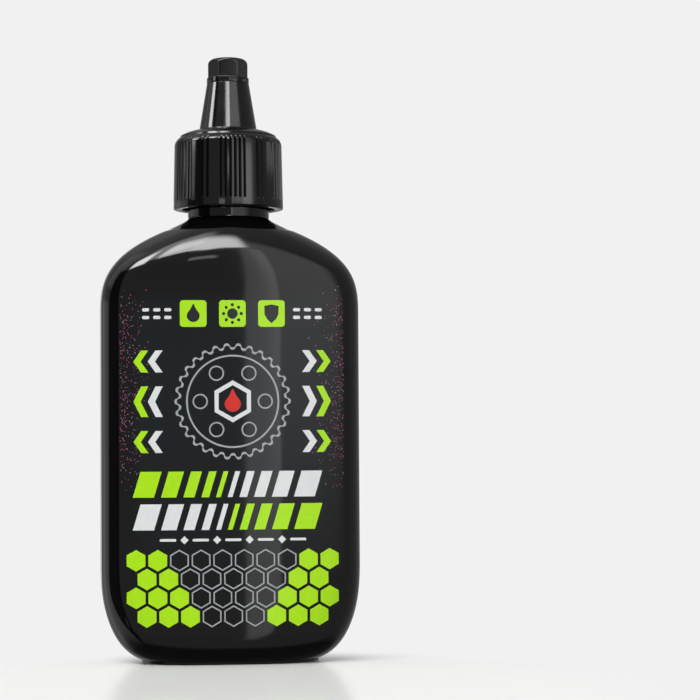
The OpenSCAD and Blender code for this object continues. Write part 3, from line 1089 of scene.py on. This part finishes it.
def drop(x, z, r, steps=28):
    """A drop whose round part has the radius r, with its tip up."""
    points = []
    for k in range(steps):
        a = 2 * math.pi * k / steps
        pull = max(0.0, math.sin(a)) ** 3
        points.append((x + r * math.cos(a) * (1 - 0.55 * pull), z + r * (math.sin(a) + 0.85 * pull**2)))
    return points


def tile(x, z, width, height, r=0.7, steps=5):
    """A rectangle with rounded corners round x, z."""
    points = []
    for k, (sx, sz) in enumerate(((1, 1), (-1, 1), (-1, -1), (1, -1))):
        cx, cz = x + sx * (width / 2 - r), z + sz * (height / 2 - r)
        for step in range(steps + 1):
            a = math.pi / 2 * (k + step / steps)
            points.append((cx + r * math.cos(a), cz + r * math.sin(a)))
    return points


def chevron(x, z, width, height, arm):
    """An arrow head pointing right."""
    half = height / 2
    return [
        (x, z - half),
        (x + arm, z - half),
        (x + arm + width, z),
        (x + arm, z + half),
        (x, z + half),
        (x + width, z),
    ]


def cog(x, z, r, teeth, line):
    """Outline and inner line of a toothed wheel drawn as a line."""
    outer, inner = [], []
    for k in range(teeth * 10):
        a = 2 * math.pi * k / (teeth * 10)
        wave = math.cos(a * teeth)
        tooth = 0.5 + 0.5 * math.tanh(2.2 * wave)
        reach = r - 0.9 + 0.9 * tooth
        outer.append((x + reach * math.cos(a), z + reach * math.sin(a)))
        inner.append((x + (reach - line) * math.cos(a), z + (reach - line) * math.sin(a)))
    return [outer, inner]


def bar_row(inks, z, first, second):
    """A row of slanted bars that thin towards the middle, half in each ink."""
    widths, gap = (4.4, 3.2, 2.3, 1.6, 1.0), 1.45
    x = -20.9
    for ink, half in ((first, widths), (second, widths[::-1])):
        for width in half:
            inks[ink].append([slanted(x, z, width, 5.4)])
            x += width + gap


def honeycomb(inks):
    """Six-sided cells at the foot: lime wings with silver outlines between."""
    for row in range(4):
        for column in range(-5, 6):
            x, z = 4.5 * (column + 0.5 * (row % 2)), 10.4 + 3.9 * row
            if abs(x) > 21:
                continue
            cell = disc(x, z, 2.25, 6, math.pi / 6)
            if abs(x) > 8 + 2.2 * row:
                inks["lime"].append([cell])
            else:
                inks["silver"].append([cell, disc(x, z, 1.95, 6, math.pi / 6)])


def artwork():
    """Outlines of each ink: every shape is its outline followed by its holes."""
    inks = {key: [] for key in ("white", "lime", "silver", "red", "dark")}
    # Three lime tiles at the top with a drop, a sun and a shield
    top = 73.6
    for x in (-8.2, 0.0, 8.2):
        inks["lime"].append([tile(x, top, 5.6, 5.6)])
    inks["dark"].append([drop(-8.2, top - 0.4, 1.35)])
    inks["dark"].append([disc(0.0, top, 1.1, 24)])
    for k in range(8):
        a = math.pi / 4 * k
        inks["dark"].append([disc(1.85 * math.cos(a), top + 1.85 * math.sin(a), 0.34, 10)])
    right = [(1.5, 1.6), (1.45, -0.2), (0.9, -1.2)]
    shield = [(0.0, 1.9), *right, (0.0, -2.0), *[(-sx, sz) for sx, sz in right[::-1]]]
    inks["dark"].append([[(8.2 + sx, top + sz) for sx, sz in shield]])
    for x in (-15.8, 15.8):
        for k in (-1, 0, 1):
            inks["white"].append([tile(x + k * 2.3, top - 0.8, 1.5, 0.7, 0.3)])
            inks["white"].append([tile(x + k * 2.3, top + 0.8, 1.5, 0.7, 0.3)])
    # A large toothed wheel round a hexagon with a red drop
    hub, reach = 55.2, 12.2
    inks["silver"].append(cog(0, hub, reach, 30, 0.5))
    inks["silver"].append(ring(0, hub, reach * 0.8, 0.36, 64))
    for k in range(6):
        a = math.pi / 3 * k
        inks["silver"].append(ring(6.8 * math.cos(a), hub + 6.8 * math.sin(a), 1.6, 0.3, 28))
    inks["white"].append([disc(0, hub, 4.4, 6, math.pi / 6), disc(0, hub, 3.4, 6, math.pi / 6)])
    inks["red"].append([drop(0, hub - 0.5, 1.7)])
    # Arrow heads that point away from the wheel
    for z, tall in ((hub - 8.4, 4.6), (hub, 6.4), (hub + 8.4, 4.6)):
        for ink, x in (("white", 14.6), ("lime", 17.6)):
            head = chevron(x, z, 1.6, tall, 1.5)
            inks[ink].append([head])
            inks[ink].append([[(-px, pz) for px, pz in head]])
    # Two rows of bars, a thin rule broken by lozenges, and the foot
    bar_row(inks, 35.2, "lime", "white")
    bar_row(inks, 28.4, "white", "lime")
    for k in range(-4, 5):
        if k % 2:
            inks["white"].append([disc(k * 3.4, 26.3, 0.85, 4)])
        else:
            inks["white"].append([tile(k * 3.4, 26.3, 3.4, 0.55, 0.25)])
    honeycomb(inks)
    return inks


def printed(name, shapes, label, layer, material):
    """Ink laid on the film: thin closed sheets bent round the front."""
    work = bmesh.new()
    for shape in shapes:
        edges = []
        for loop in shape:
            corners = [work.verts.new((x * MM, 0, z * MM)) for x, z in loop]
            edges += [work.edges.new((corners[i - 1], corners[i])) for i in range(len(corners))]
        bmesh.ops.triangle_fill(work, edges=edges, use_beauty=True, normal=(0, -1, 0))
    for x in np.arange(-24, 24.1, 1.0):
        everything = work.verts[:] + work.edges[:] + work.faces[:]
        bmesh.ops.bisect_plane(work, geom=everything, dist=1e-7, plane_co=(x * MM, 0, 0), plane_no=(1, 0, 0))
    for z in np.arange(8, 26, 2.0):
        everything = work.verts[:] + work.edges[:] + work.faces[:]
        bmesh.ops.bisect_plane(work, geom=everything, dist=1e-7, plane_co=(0, 0, z * MM), plane_no=(0, 0, 1))
    work.verts.index_update()
    flat = [(v.co.x, v.co.z) for v in work.verts]
    faces = [[v.index for v in f.verts] for f in work.faces]
    rims = [(e.verts[0].index, e.verts[1].index) for e in work.edges if e.is_boundary]
    work.free()
    face_out = label.look.gap + label.look.film
    count = len(flat)
    verts = [label.point(x, z, face_out + label.look.ink * layer) for x, z in flat]
    verts += [label.point(x, z, face_out - 0.01 * MM) for x, z in flat]
    faces += [[count + i for i in reversed(face)] for face in faces]
    faces += [(a, b, b + count, a + count) for a, b in rims]
    piece = new_piece(name, verts, faces)
    outward(piece)
    shade(piece, 40)
    dress(piece, material)
    return piece


def speckle_tree():
    """A node tree that scatters small ink dots over a surface, denser where its weight is high."""
    tree = bpy.data.node_groups.new("Ink speckles", "GeometryNodeTree")
    face = tree.interface
    face.new_socket(name="Geometry", in_out="INPUT", socket_type="NodeSocketGeometry")
    sockets = {}
    for name, kind, default in (
        ("Density", "NodeSocketFloat", 100000.0),
        ("Smallest", "NodeSocketFloat", 0.0001),
        ("Largest", "NodeSocketFloat", 0.0003),
        ("Thickness", "NodeSocketFloat", 0.00004),
        ("Seed", "NodeSocketInt", 1),
    ):
        sockets[name] = face.new_socket(name=name, in_out="INPUT", socket_type=kind)
        sockets[name].default_value = default
    sockets["Material"] = face.new_socket(name="Material", in_out="INPUT", socket_type="NodeSocketMaterial")
    face.new_socket(name="Geometry", in_out="OUTPUT", socket_type="NodeSocketGeometry")
    given = add(tree, "NodeGroupInput").outputs
    weight = add(tree, "GeometryNodeInputNamedAttribute", {"data_type": "FLOAT"}, {"Name": "weight"})
    density = add(
        tree, "ShaderNodeMath", {"operation": "MULTIPLY"}, {0: given["Density"], 1: weight.outputs["Attribute"]}
    )
    points = add(
        tree,
        "GeometryNodeDistributePointsOnFaces",
        links={"Mesh": given["Geometry"], "Density": density.outputs[0], "Seed": given["Seed"]},
    )
    dot = add(
        tree,
        "GeometryNodeMeshCylinder",
        links={"Vertices": 7, "Radius": 1.0, "Depth": 1.0},
    )
    size = add(
        tree,
        "FunctionNodeRandomValue",
        {"data_type": "FLOAT"},
        {"Min": given["Smallest"], "Max": given["Largest"], "Seed": given["Seed"]},
    )
    span = next(o for o in size.outputs if o.enabled)
    scale = add(tree, "ShaderNodeCombineXYZ", links={"X": span, "Y": span, "Z": given["Thickness"]})
    placed = add(
        tree,
        "GeometryNodeInstanceOnPoints",
        links={
            "Points": points.outputs["Points"],
            "Instance": dot.outputs["Mesh"],
            "Rotation": points.outputs["Rotation"],
            "Scale": scale.outputs[0],
        },
    )
    real = add(tree, "GeometryNodeRealizeInstances", links={"Geometry": placed.outputs[0]})
    dressed = add(
        tree, "GeometryNodeSetMaterial", links={"Geometry": real.outputs[0], "Material": given["Material"]}
    )
    add(tree, "NodeGroupOutput", links={0: dressed.outputs[0]})
    return tree, {name: socket.identifier for name, socket in sockets.items()}


def speckle_ground(label):
    """Two bands of the film's surface, one at each side, with a weight where speckles fall."""
    verts, faces, weights = [], [], []
    for side in (-1, 1):
        base = len(verts)
        columns, rows = 17, 40
        for row in range(rows):
            z = (36 + 44 * row / (rows - 1)) * MM
            for column in range(columns):
                x = side * (15.5 + 8.0 * column / (columns - 1)) * MM
                verts.append(label.point(x, z, label.look.gap + label.look.film + 0.006 * MM))
                out = column / (columns - 1)
                tall = 1 - abs(row / (rows - 1) - 0.5) * 2
                weights.append(out**2.2 * min(1.0, tall * 2.5))
        for row in range(rows - 1):
            for column in range(columns - 1):
                corner = base + row * columns + column
                quad = (corner, corner + 1, corner + columns + 1, corner + columns)
                faces.append(quad if side > 0 else quad[::-1])
    mesh = bpy.data.meshes.new("speckle_ground")
    mesh.from_pydata(verts, [], faces)
    mesh.attributes.new("weight", "FLOAT", "POINT").data.foreach_set("value", weights)
    return mesh


# The one node tree that both colours of speckle share, made when first needed
SPECKLE_TREES = []


def speckles(name, label, density, sizes, seed, material):
    """Fine ink dots at both sides of the label."""
    if not SPECKLE_TREES:
        SPECKLE_TREES.append(speckle_tree())
    tree, identifiers = SPECKLE_TREES[0]
    values = {
        "Density": density,
        "Smallest": sizes[0] * MM,
        "Largest": sizes[1] * MM,
        "Thickness": 0.03 * MM,
        "Seed": seed,
    }
    piece = grown(name, tree, identifiers, values, material, speckle_ground(label))
    shade(piece, 40)
    return piece


# Stage: floor, surroundings and camera

PAPER = 0xF1F1F1

# What shines on the bottle, as seen from it: the corners of each panel as
# (azimuth, elevation) in degrees, the blur of its edges in degrees, edge by
# edge from the first corner on, and its brightness
PANELS = (
    # A tall window to the front left with a bar in it, crisp below, and its glow above
    (((-62, 37.5), (-37, 37.5), (-37, 53), (-62, 47)), (0.8, 4, 6, 3), 13.0),
    (((-26, 38.0), (-6, 31.6), (-6, 48), (-26, 54)), (1.2, 1.2, 9, 5), 10.0),
    (((-6, 31.6), (0.5, 27.6), (4.8, 29.4), (4.8, 44), (-6, 48)), (1.2, 1.6, 1.4, 11, 1.2), 12.0),
    (((-58, 38), (-6, 37), (-2, 50), (-10, 62), (-46, 63)), (1.2, 4, 8, 8, 6), 3.2),
    # A grey card to the front right that fades downwards
    (((4.8, 0.5), (50, 0.5), (50, 34), (4.8, 36)), (12, 26, 8, 2), 0.9),
    # The paper behind the bottle
    (((163, -4), (197, -4), (197, 16), (163, 16)), (1, 3, 4, 3), 0.62),
)
# Pale walls to the left rear, which the black flag in front of them covers in part
WALLS = (
    (((-142, -42), (-62, -42), (-62, 5), (-142, 6)), (8, 6, 4, 12), 0.36),
    (((-124, 17), (-86, 17), (-62, 60), (-124, 50)), (5, 4, 8, 8), 0.42),
)
# Share of the room's light that the flag takes away
FLAG_SHADE = 0.93
FLAG = (((-102, -12), (-50, -37), (-62, 37), (-88, 37)), (3, 3, 2, 2.4))
ROOM = 0.28
# Slim lamps that stand close in front: middle, width and height in mm, and brightness
LAMPS = {
    "strip_lamp": ((18.9, -164.0, 80.0), 14.6, 176.0, 0.95),
    "lens_lamp": ((-6.5, -114.0, 121.5), 15.0, 6.0, 2.3),
}
# Lamps for the caps alone: azimuth in degrees, lower and upper edge and width in mm, brightness
CAP_LAMPS = {
    "spout_window": (-84, 205, 246, 58, 13.0),
    "crown_window": (-86, 262, 300, 62, 5.0),
    "side_window": (-82, 139, 176, 46, 4.2),
    "side_glow": (-82, 124, 139, 38, 1.4),
    "spout_card": (27, 238, 276, 170, 1.2),
    "ridge_card": (97, 132, 156, 88, 0.9),
    "rib_window": (-16, 22, 122, 40, 1.9),
    "land_window": (36, 22, 141, 66, 1.25),
    "rim_card": (30, 22, 141, 140, 0.75),
}
CAP_LAMP_REACH = 200.0


def direction(azimuth, elevation):
    """Unit vector; azimuth in degrees from the front (-Y), positive to the right."""
    a, e = math.radians(azimuth), math.radians(elevation)
    return Vector((math.sin(a) * math.cos(e), -math.cos(a) * math.cos(e), math.sin(e)))


def panel(tree, ray, corners, blurs):
    """1 where a ray meets a panel, fading to 0 over the blur of each edge."""
    points = [direction(*corner) for corner in corners]
    middle = sum(points, Vector())
    inside = None
    for start, end, blur in zip(points, points[1:] + points[:1], blurs):
        across = start.cross(end).normalized()
        if across.dot(middle) < 0:
            across.negate()
        reach = add(tree, "ShaderNodeVectorMath", {"operation": "DOT_PRODUCT"}, {0: ray, 1: across}).outputs["Value"]
        half = math.sin(math.radians(blur)) / 2
        edge = add(
            tree,
            "ShaderNodeMapRange",
            {"interpolation_type": "SMOOTHSTEP"},
            {"Value": reach, "From Min": -half, "From Max": half},
        ).outputs[0]
        if inside is None:
            inside = edge
        else:
            inside = add(tree, "ShaderNodeMath", {"operation": "MULTIPLY"}, {0: inside, 1: edge}).outputs[0]
    return inside


def area_lamp(name, width, height, brightness):
    """An area lamp of the size in mm that neither the camera nor matt colours see."""
    light = bpy.data.lights.new(name, "AREA")
    light.shape = "RECTANGLE"
    light.size, light.size_y = width * MM, height * MM
    light.energy = brightness * math.pi * light.size * light.size_y
    lamp = bpy.data.objects.new(name, light)
    bpy.context.scene.collection.objects.link(lamp)
    lamp.visible_camera = lamp.visible_diffuse = False
    return lamp


def stage_lamps():
    """The slim lamps in front, facing the bottle along +Y."""
    for name, (middle, width, height, brightness) in LAMPS.items():
        lamp = area_lamp(name, width, height, brightness)
        turn = Matrix.Rotation(math.radians(90), 4, "X")
        lamp.matrix_world = Matrix.Translation(Vector(middle) * MM) @ turn


def cap_pieces():
    """The collection of the pieces that the caps' own lamps shine on."""
    return bpy.data.collections.get("cap_pieces") or bpy.data.collections.new("cap_pieces")


def cap_lamps():
    """Lamps round the caps, seen by their gloss alone."""
    for name, (azimuth, low, high, width, brightness) in CAP_LAMPS.items():
        lamp = area_lamp(name, width, high - low, brightness)
        place = Matrix.Translation(Vector((0.0, -CAP_LAMP_REACH, (low + high) / 2)) * MM)
        lamp.matrix_world = (
            Matrix.Rotation(math.radians(azimuth), 4, "Z") @ place @ Matrix.Rotation(math.radians(90), 4, "X")
        )
        lamp.light_linking.receiver_collection = cap_pieces()


def surroundings():
    """A dim room with bright panels and a black flag; the camera sees white paper."""
    world = bpy.data.worlds.new("studio_room")
    bpy.context.scene.world = world
    world.use_nodes = True
    tree = world.node_tree
    tree.nodes.clear()
    ray = add(tree, "ShaderNodeTexCoord").outputs["Generated"]
    parts = add(tree, "ShaderNodeSeparateXYZ", links={0: ray}).outputs
    up = parts["Z"]
    smooth = {"interpolation_type": "SMOOTHSTEP"}
    # The ceiling is paler to the left
    pale = add(
        tree,
        "ShaderNodeMapRange",
        smooth,
        {"Value": parts["X"], "From Min": 0.4, "From Max": -0.5, "To Min": 0.08, "To Max": 0.38},
    ).outputs[0]
    height = add(tree, "ShaderNodeMapRange", smooth, {"Value": up, "From Min": 0.5, "From Max": 0.85}).outputs[0]
    table = add(
        tree,
        "ShaderNodeMapRange",
        smooth,
        {"Value": up, "From Min": -0.7, "From Max": -0.46, "To Min": 0.22, "To Max": 1.0},
    ).outputs[0]
    ceiling = add(tree, "ShaderNodeMath", {"operation": "MULTIPLY_ADD"}, {0: pale, 1: height, 2: ROOM}).outputs[0]
    for corners, blurs, brightness in WALLS:
        inside = panel(tree, ray, corners, blurs)
        ceiling = add(
            tree, "ShaderNodeMath", {"operation": "MULTIPLY_ADD"}, {0: inside, 1: brightness, 2: ceiling}
        ).outputs[0]
    ceiling = add(tree, "ShaderNodeMath", {"operation": "MULTIPLY"}, {0: ceiling, 1: table}).outputs[0]
    flag = panel(tree, ray, *FLAG)
    open_share = add(
        tree, "ShaderNodeMath", {"operation": "MULTIPLY_ADD"}, {0: flag, 1: -FLAG_SHADE, 2: 1.0}
    ).outputs[0]
    total = add(tree, "ShaderNodeMath", {"operation": "MULTIPLY"}, {0: ceiling, 1: open_share}).outputs[0]
    for corners, blurs, brightness in PANELS:
        inside = panel(tree, ray, corners, blurs)
        total = add(
            tree, "ShaderNodeMath", {"operation": "MULTIPLY_ADD"}, {0: inside, 1: brightness, 2: total}
        ).outputs[0]
    seen = add(tree, "ShaderNodeLightPath").outputs["Is Camera Ray"]
    room = add(tree, "ShaderNodeBackground", links={"Color": (1, 1, 1, 1), "Strength": total})
    paper = add(tree, "ShaderNodeBackground", links={"Color": linear(PAPER), "Strength": 1.0})
    mixed = add(tree, "ShaderNodeMixShader", links={0: seen, 1: room.outputs[0], 2: paper.outputs[0]})
    add(tree, "ShaderNodeOutputWorld", links={"Surface": mixed.outputs[0]})


def stage_floor():
    """Pale glazed board that mirrors the bottle's foot softly and fades into the
    paper. The bottle mirrors the darker table of the room in its place."""
    size = 3.0
    mesh = bpy.data.meshes.new("studio_floor")
    corners = [(-size, -size, 0), (size, -size, 0), (size, size, 0), (-size, size, 0)]
    mesh.from_pydata(corners, [], [(0, 1, 2, 3)])
    floor = bpy.data.objects.new("studio_floor", mesh)
    bpy.context.scene.collection.objects.link(floor)
    material = new_material("pale_glazed_board")
    tree = material.node_tree
    place = object_place(tree)
    board = add(
        tree,
        "ShaderNodeBsdfPrincipled",
        links={"Base Color": linear(0xEDEDEC), "Roughness": 0.16, "IOR": 1.06},
    )
    paper = add(tree, "ShaderNodeEmission", links={"Color": linear(PAPER), "Strength": 1.0})
    ahead = add(
        tree, "ShaderNodeVectorMath", {"operation": "DISTANCE"}, {0: place, 1: (0.0, -60.0, 0.0)}
    ).outputs["Value"]
    fade = add(
        tree,
        "ShaderNodeMapRange",
        {"interpolation_type": "SMOOTHSTEP"},
        {"Value": ahead, "From Min": 58.0, "From Max": 84.0},
    )
    pale = add(tree, "ShaderNodeMixShader", links={0: fade.outputs[0], 1: board.outputs[0], 2: paper.outputs[0]})
    clear = add(tree, "ShaderNodeBsdfTransparent")
    seen = add(tree, "ShaderNodeLightPath").outputs["Is Camera Ray"]
    both = add(tree, "ShaderNodeMixShader", links={0: seen, 1: clear.outputs[0], 2: pale.outputs[0]})
    finish_material(tree, both)
    dress(floor, material)


def stage_camera():
    """A long lens level with the label, as far to the left of the front as the picture shows."""
    data = bpy.data.cameras.new("camera")
    data.sensor_width = 36.0
    data.lens = 121.7
    camera = bpy.data.objects.new("camera", data)
    bpy.context.scene.collection.objects.link(camera)
    heading, tilt, roll = math.radians(5.93), math.radians(2.15), math.radians(0.36)
    ahead = Vector((math.sin(heading) * math.cos(tilt), math.cos(heading) * math.cos(tilt), math.sin(tilt)))
    right = Vector((math.cos(heading), -math.sin(heading), 0.0))
    up = right.cross(ahead)
    rolled_up = up * math.cos(roll) + right * math.sin(roll)
    rolled_right = right * math.cos(roll) - up * math.sin(roll)
    turn = Matrix((rolled_right, rolled_up, -ahead)).transposed().to_4x4()
    camera.matrix_world = Matrix.Translation(Vector((-26.7, -509.3, 47.2)) * MM) @ turn
    bpy.context.scene.camera = camera


# Operators


class LubeOperator:
    """What the bottle's operators share."""

    bl_options = {"REGISTER", "UNDO"}


class OBJECT_OT_lube_stage(LubeOperator, bpy.types.Operator):
    """Set up the camera, floor, lamps and surroundings"""

    bl_idname = "object.lube_stage"
    bl_label = "Stage"

    def execute(self, context):
        context.scene.view_settings.view_transform = "Standard"
        stage_camera()
        stage_floor()
        surroundings()
        stage_lamps()
        cap_lamps()
        return {"FINISHED"}


class OBJECT_OT_lube_bottle(LubeOperator, bpy.types.Operator):
    """Make the blown bottle and its neck's thread"""

    bl_idname = "object.lube_bottle"
    bl_label = "Bottle"

    def execute(self, context):
        sizes, threads = settings("lube_bottle"), settings("lube_threads")
        plastic = blown_polyethylene()
        body = build_bottle(sizes)
        dress(body, plastic)
        end = MOUTH_Z - threads.start
        neck = thread(
            "neck_thread",
            sizes.neck_r,
            threads.crest_r,
            end - threads.turns * threads.pitch,
            threads.pitch,
            threads.turns,
            threads.flank_gap,
            plastic,
        )
        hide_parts("bottle")
        for piece in (body, neck):
            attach(piece, "bottle")
        return {"FINISHED"}


class OBJECT_OT_lube_label(LubeOperator, bpy.types.Operator):
    """Make the printed front label"""

    bl_idname = "object.lube_label"
    bl_label = "Label"

    def execute(self, context):
        look = settings("lube_label")
        form = BodyForm(settings("lube_bottle"))
        label = LabelForm(look, form)
        film = build_label(look, form)
        dress(film, printed_film(look))
        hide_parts("label")
        white = printing_ink("white_printing_ink", look.white)
        lime = printing_ink("lime_printing_ink", look.lime)
        silver = printing_ink("silver_printing_ink", look.silver, 0.28)
        red = printing_ink("red_printing_ink", look.red)
        dark = printing_ink("charcoal_printing_ink", look.ground)
        pink = printing_ink("pink_printing_ink", look.pink)
        grey = printing_ink("grey_printing_ink", linear(0x8C9094))
        pieces = [film]
        for (key, shapes), ink in zip(artwork().items(), (white, lime, silver, red, dark)):
            layer = {"silver": 2, "dark": 3}.get(key, 1)
            pieces.append(printed("label_" + key + "_print", shapes, label, layer, ink))
        pieces.append(speckles("label_pink_speckles", label, 2.4e6, (0.045, 0.13), 3, pink))
        pieces.append(speckles("label_grey_speckles", label, 1.9e6, (0.04, 0.11), 8, grey))
        for piece in pieces:
            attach(piece, "bottle")
        return {"FINISHED"}


class OBJECT_OT_lube_spout_cap(LubeOperator, bpy.types.Operator):
    """Make the grooved cap with its spout, and its two threads"""

    bl_idname = "object.lube_spout_cap"
    bl_label = "Spout cap"

    def execute(self, context):
        sizes, threads, bottle = settings("lube_caps"), settings("lube_threads"), settings("lube_bottle")
        plastic = moulded_polypropylene("black_moulded_polypropylene", 0x0B0B0C, 0.1)
        shell = build_spout_cap(sizes, bottle.bore_r)
        dress(shell, plastic)
        start = MOUTH_Z - threads.start - threads.turns * threads.pitch
        inner = thread(
            "cap_thread",
            sizes.socket_r,
            bottle.neck_r + threads.gap,
            start - threads.pitch / 2,
            threads.pitch,
            threads.turns,
            threads.flank_gap,
            plastic,
        )
        pin = thread(
            "pin_thread",
            sizes.pin_r,
            threads.pin_crest_r,
            PIN_TOP_Z - threads.pin_start - threads.pin_turns * threads.pin_pitch,
            threads.pin_pitch,
            threads.pin_turns,
            threads.pin_flank_gap,
            plastic,
        )
        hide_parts("spout_cap")
        for piece in (shell, inner, pin):
            cap_pieces().objects.link(piece)
            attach(piece, "spout_cap")
        return {"FINISHED"}


class OBJECT_OT_lube_tip_cap(LubeOperator, bpy.types.Operator):
    """Make the hexagonal tip cap and its thread"""

    bl_idname = "object.lube_tip_cap"
    bl_label = "Tip cap"

    def execute(self, context):
        sizes, threads = settings("lube_caps"), settings("lube_threads")
        plastic = moulded_polypropylene("black_moulded_tip_polypropylene", 0x0C0C0D, 0.11)
        shell = build_tip_cap(sizes)
        dress(shell, plastic)
        start = PIN_TOP_Z - threads.pin_start - threads.pin_turns * threads.pin_pitch
        inner = thread(
            "tip_thread",
            sizes.tip_socket_r,
            sizes.pin_r + threads.gap / 2,
            start - threads.pin_pitch / 2,
            threads.pin_pitch,
            threads.pin_turns,
            threads.pin_flank_gap,
            plastic,
        )
        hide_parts("tip_cap")
        for piece in (shell, inner):
            cap_pieces().objects.link(piece)
            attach(piece, "tip_cap")
        return {"FINISHED"}


class OBJECT_OT_lube_seals(LubeOperator, bpy.types.Operator):
    """Finish the liner and the sealing disc"""

    bl_idname = "object.lube_seals"
    bl_label = "Liner and seal"

    def execute(self, context):
        foam = foamed_polyethylene()
        for node in ("liner", "tip_seal"):
            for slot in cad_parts[node].material_slots:
                slot.material = foam
        return {"FINISHED"}


class VIEW3D_PT_lube_bottle(bpy.types.Panel):
    """Builds the bottle piece by piece"""

    bl_label = "Chain Lube Bottle"
    bl_idname = "VIEW3D_PT_lube_bottle"
    bl_space_type = "VIEW_3D"
    bl_region_type = "UI"
    bl_category = "Bottle"

    def draw(self, context):
        for operator in OPERATORS:
            self.layout.operator(operator.bl_idname)
        for key, group in GROUPS.items():
            box = self.layout.box()
            for name in group.__annotations__:
                box.prop(getattr(context.scene, key), name)


OPERATORS = (
    OBJECT_OT_lube_stage,
    OBJECT_OT_lube_bottle,
    OBJECT_OT_lube_label,
    OBJECT_OT_lube_spout_cap,
    OBJECT_OT_lube_tip_cap,
    OBJECT_OT_lube_seals,
)
CLASSES = (*GROUPS.values(), *OPERATORS, VIEW3D_PT_lube_bottle)


def register():
    for item in CLASSES:
        bpy.utils.register_class(item)
    for key, group in GROUPS.items():
        setattr(bpy.types.Scene, key, PointerProperty(type=group))


def unregister():
    for key in GROUPS:
        delattr(bpy.types.Scene, key)
    for item in reversed(CLASSES):
        bpy.utils.unregister_class(item)


def main():
    register()
    for operator in OPERATORS:
        name = operator.bl_idname.split(".")[1]
        getattr(bpy.ops.object, name)()


if __name__ == "__main__":
    main()
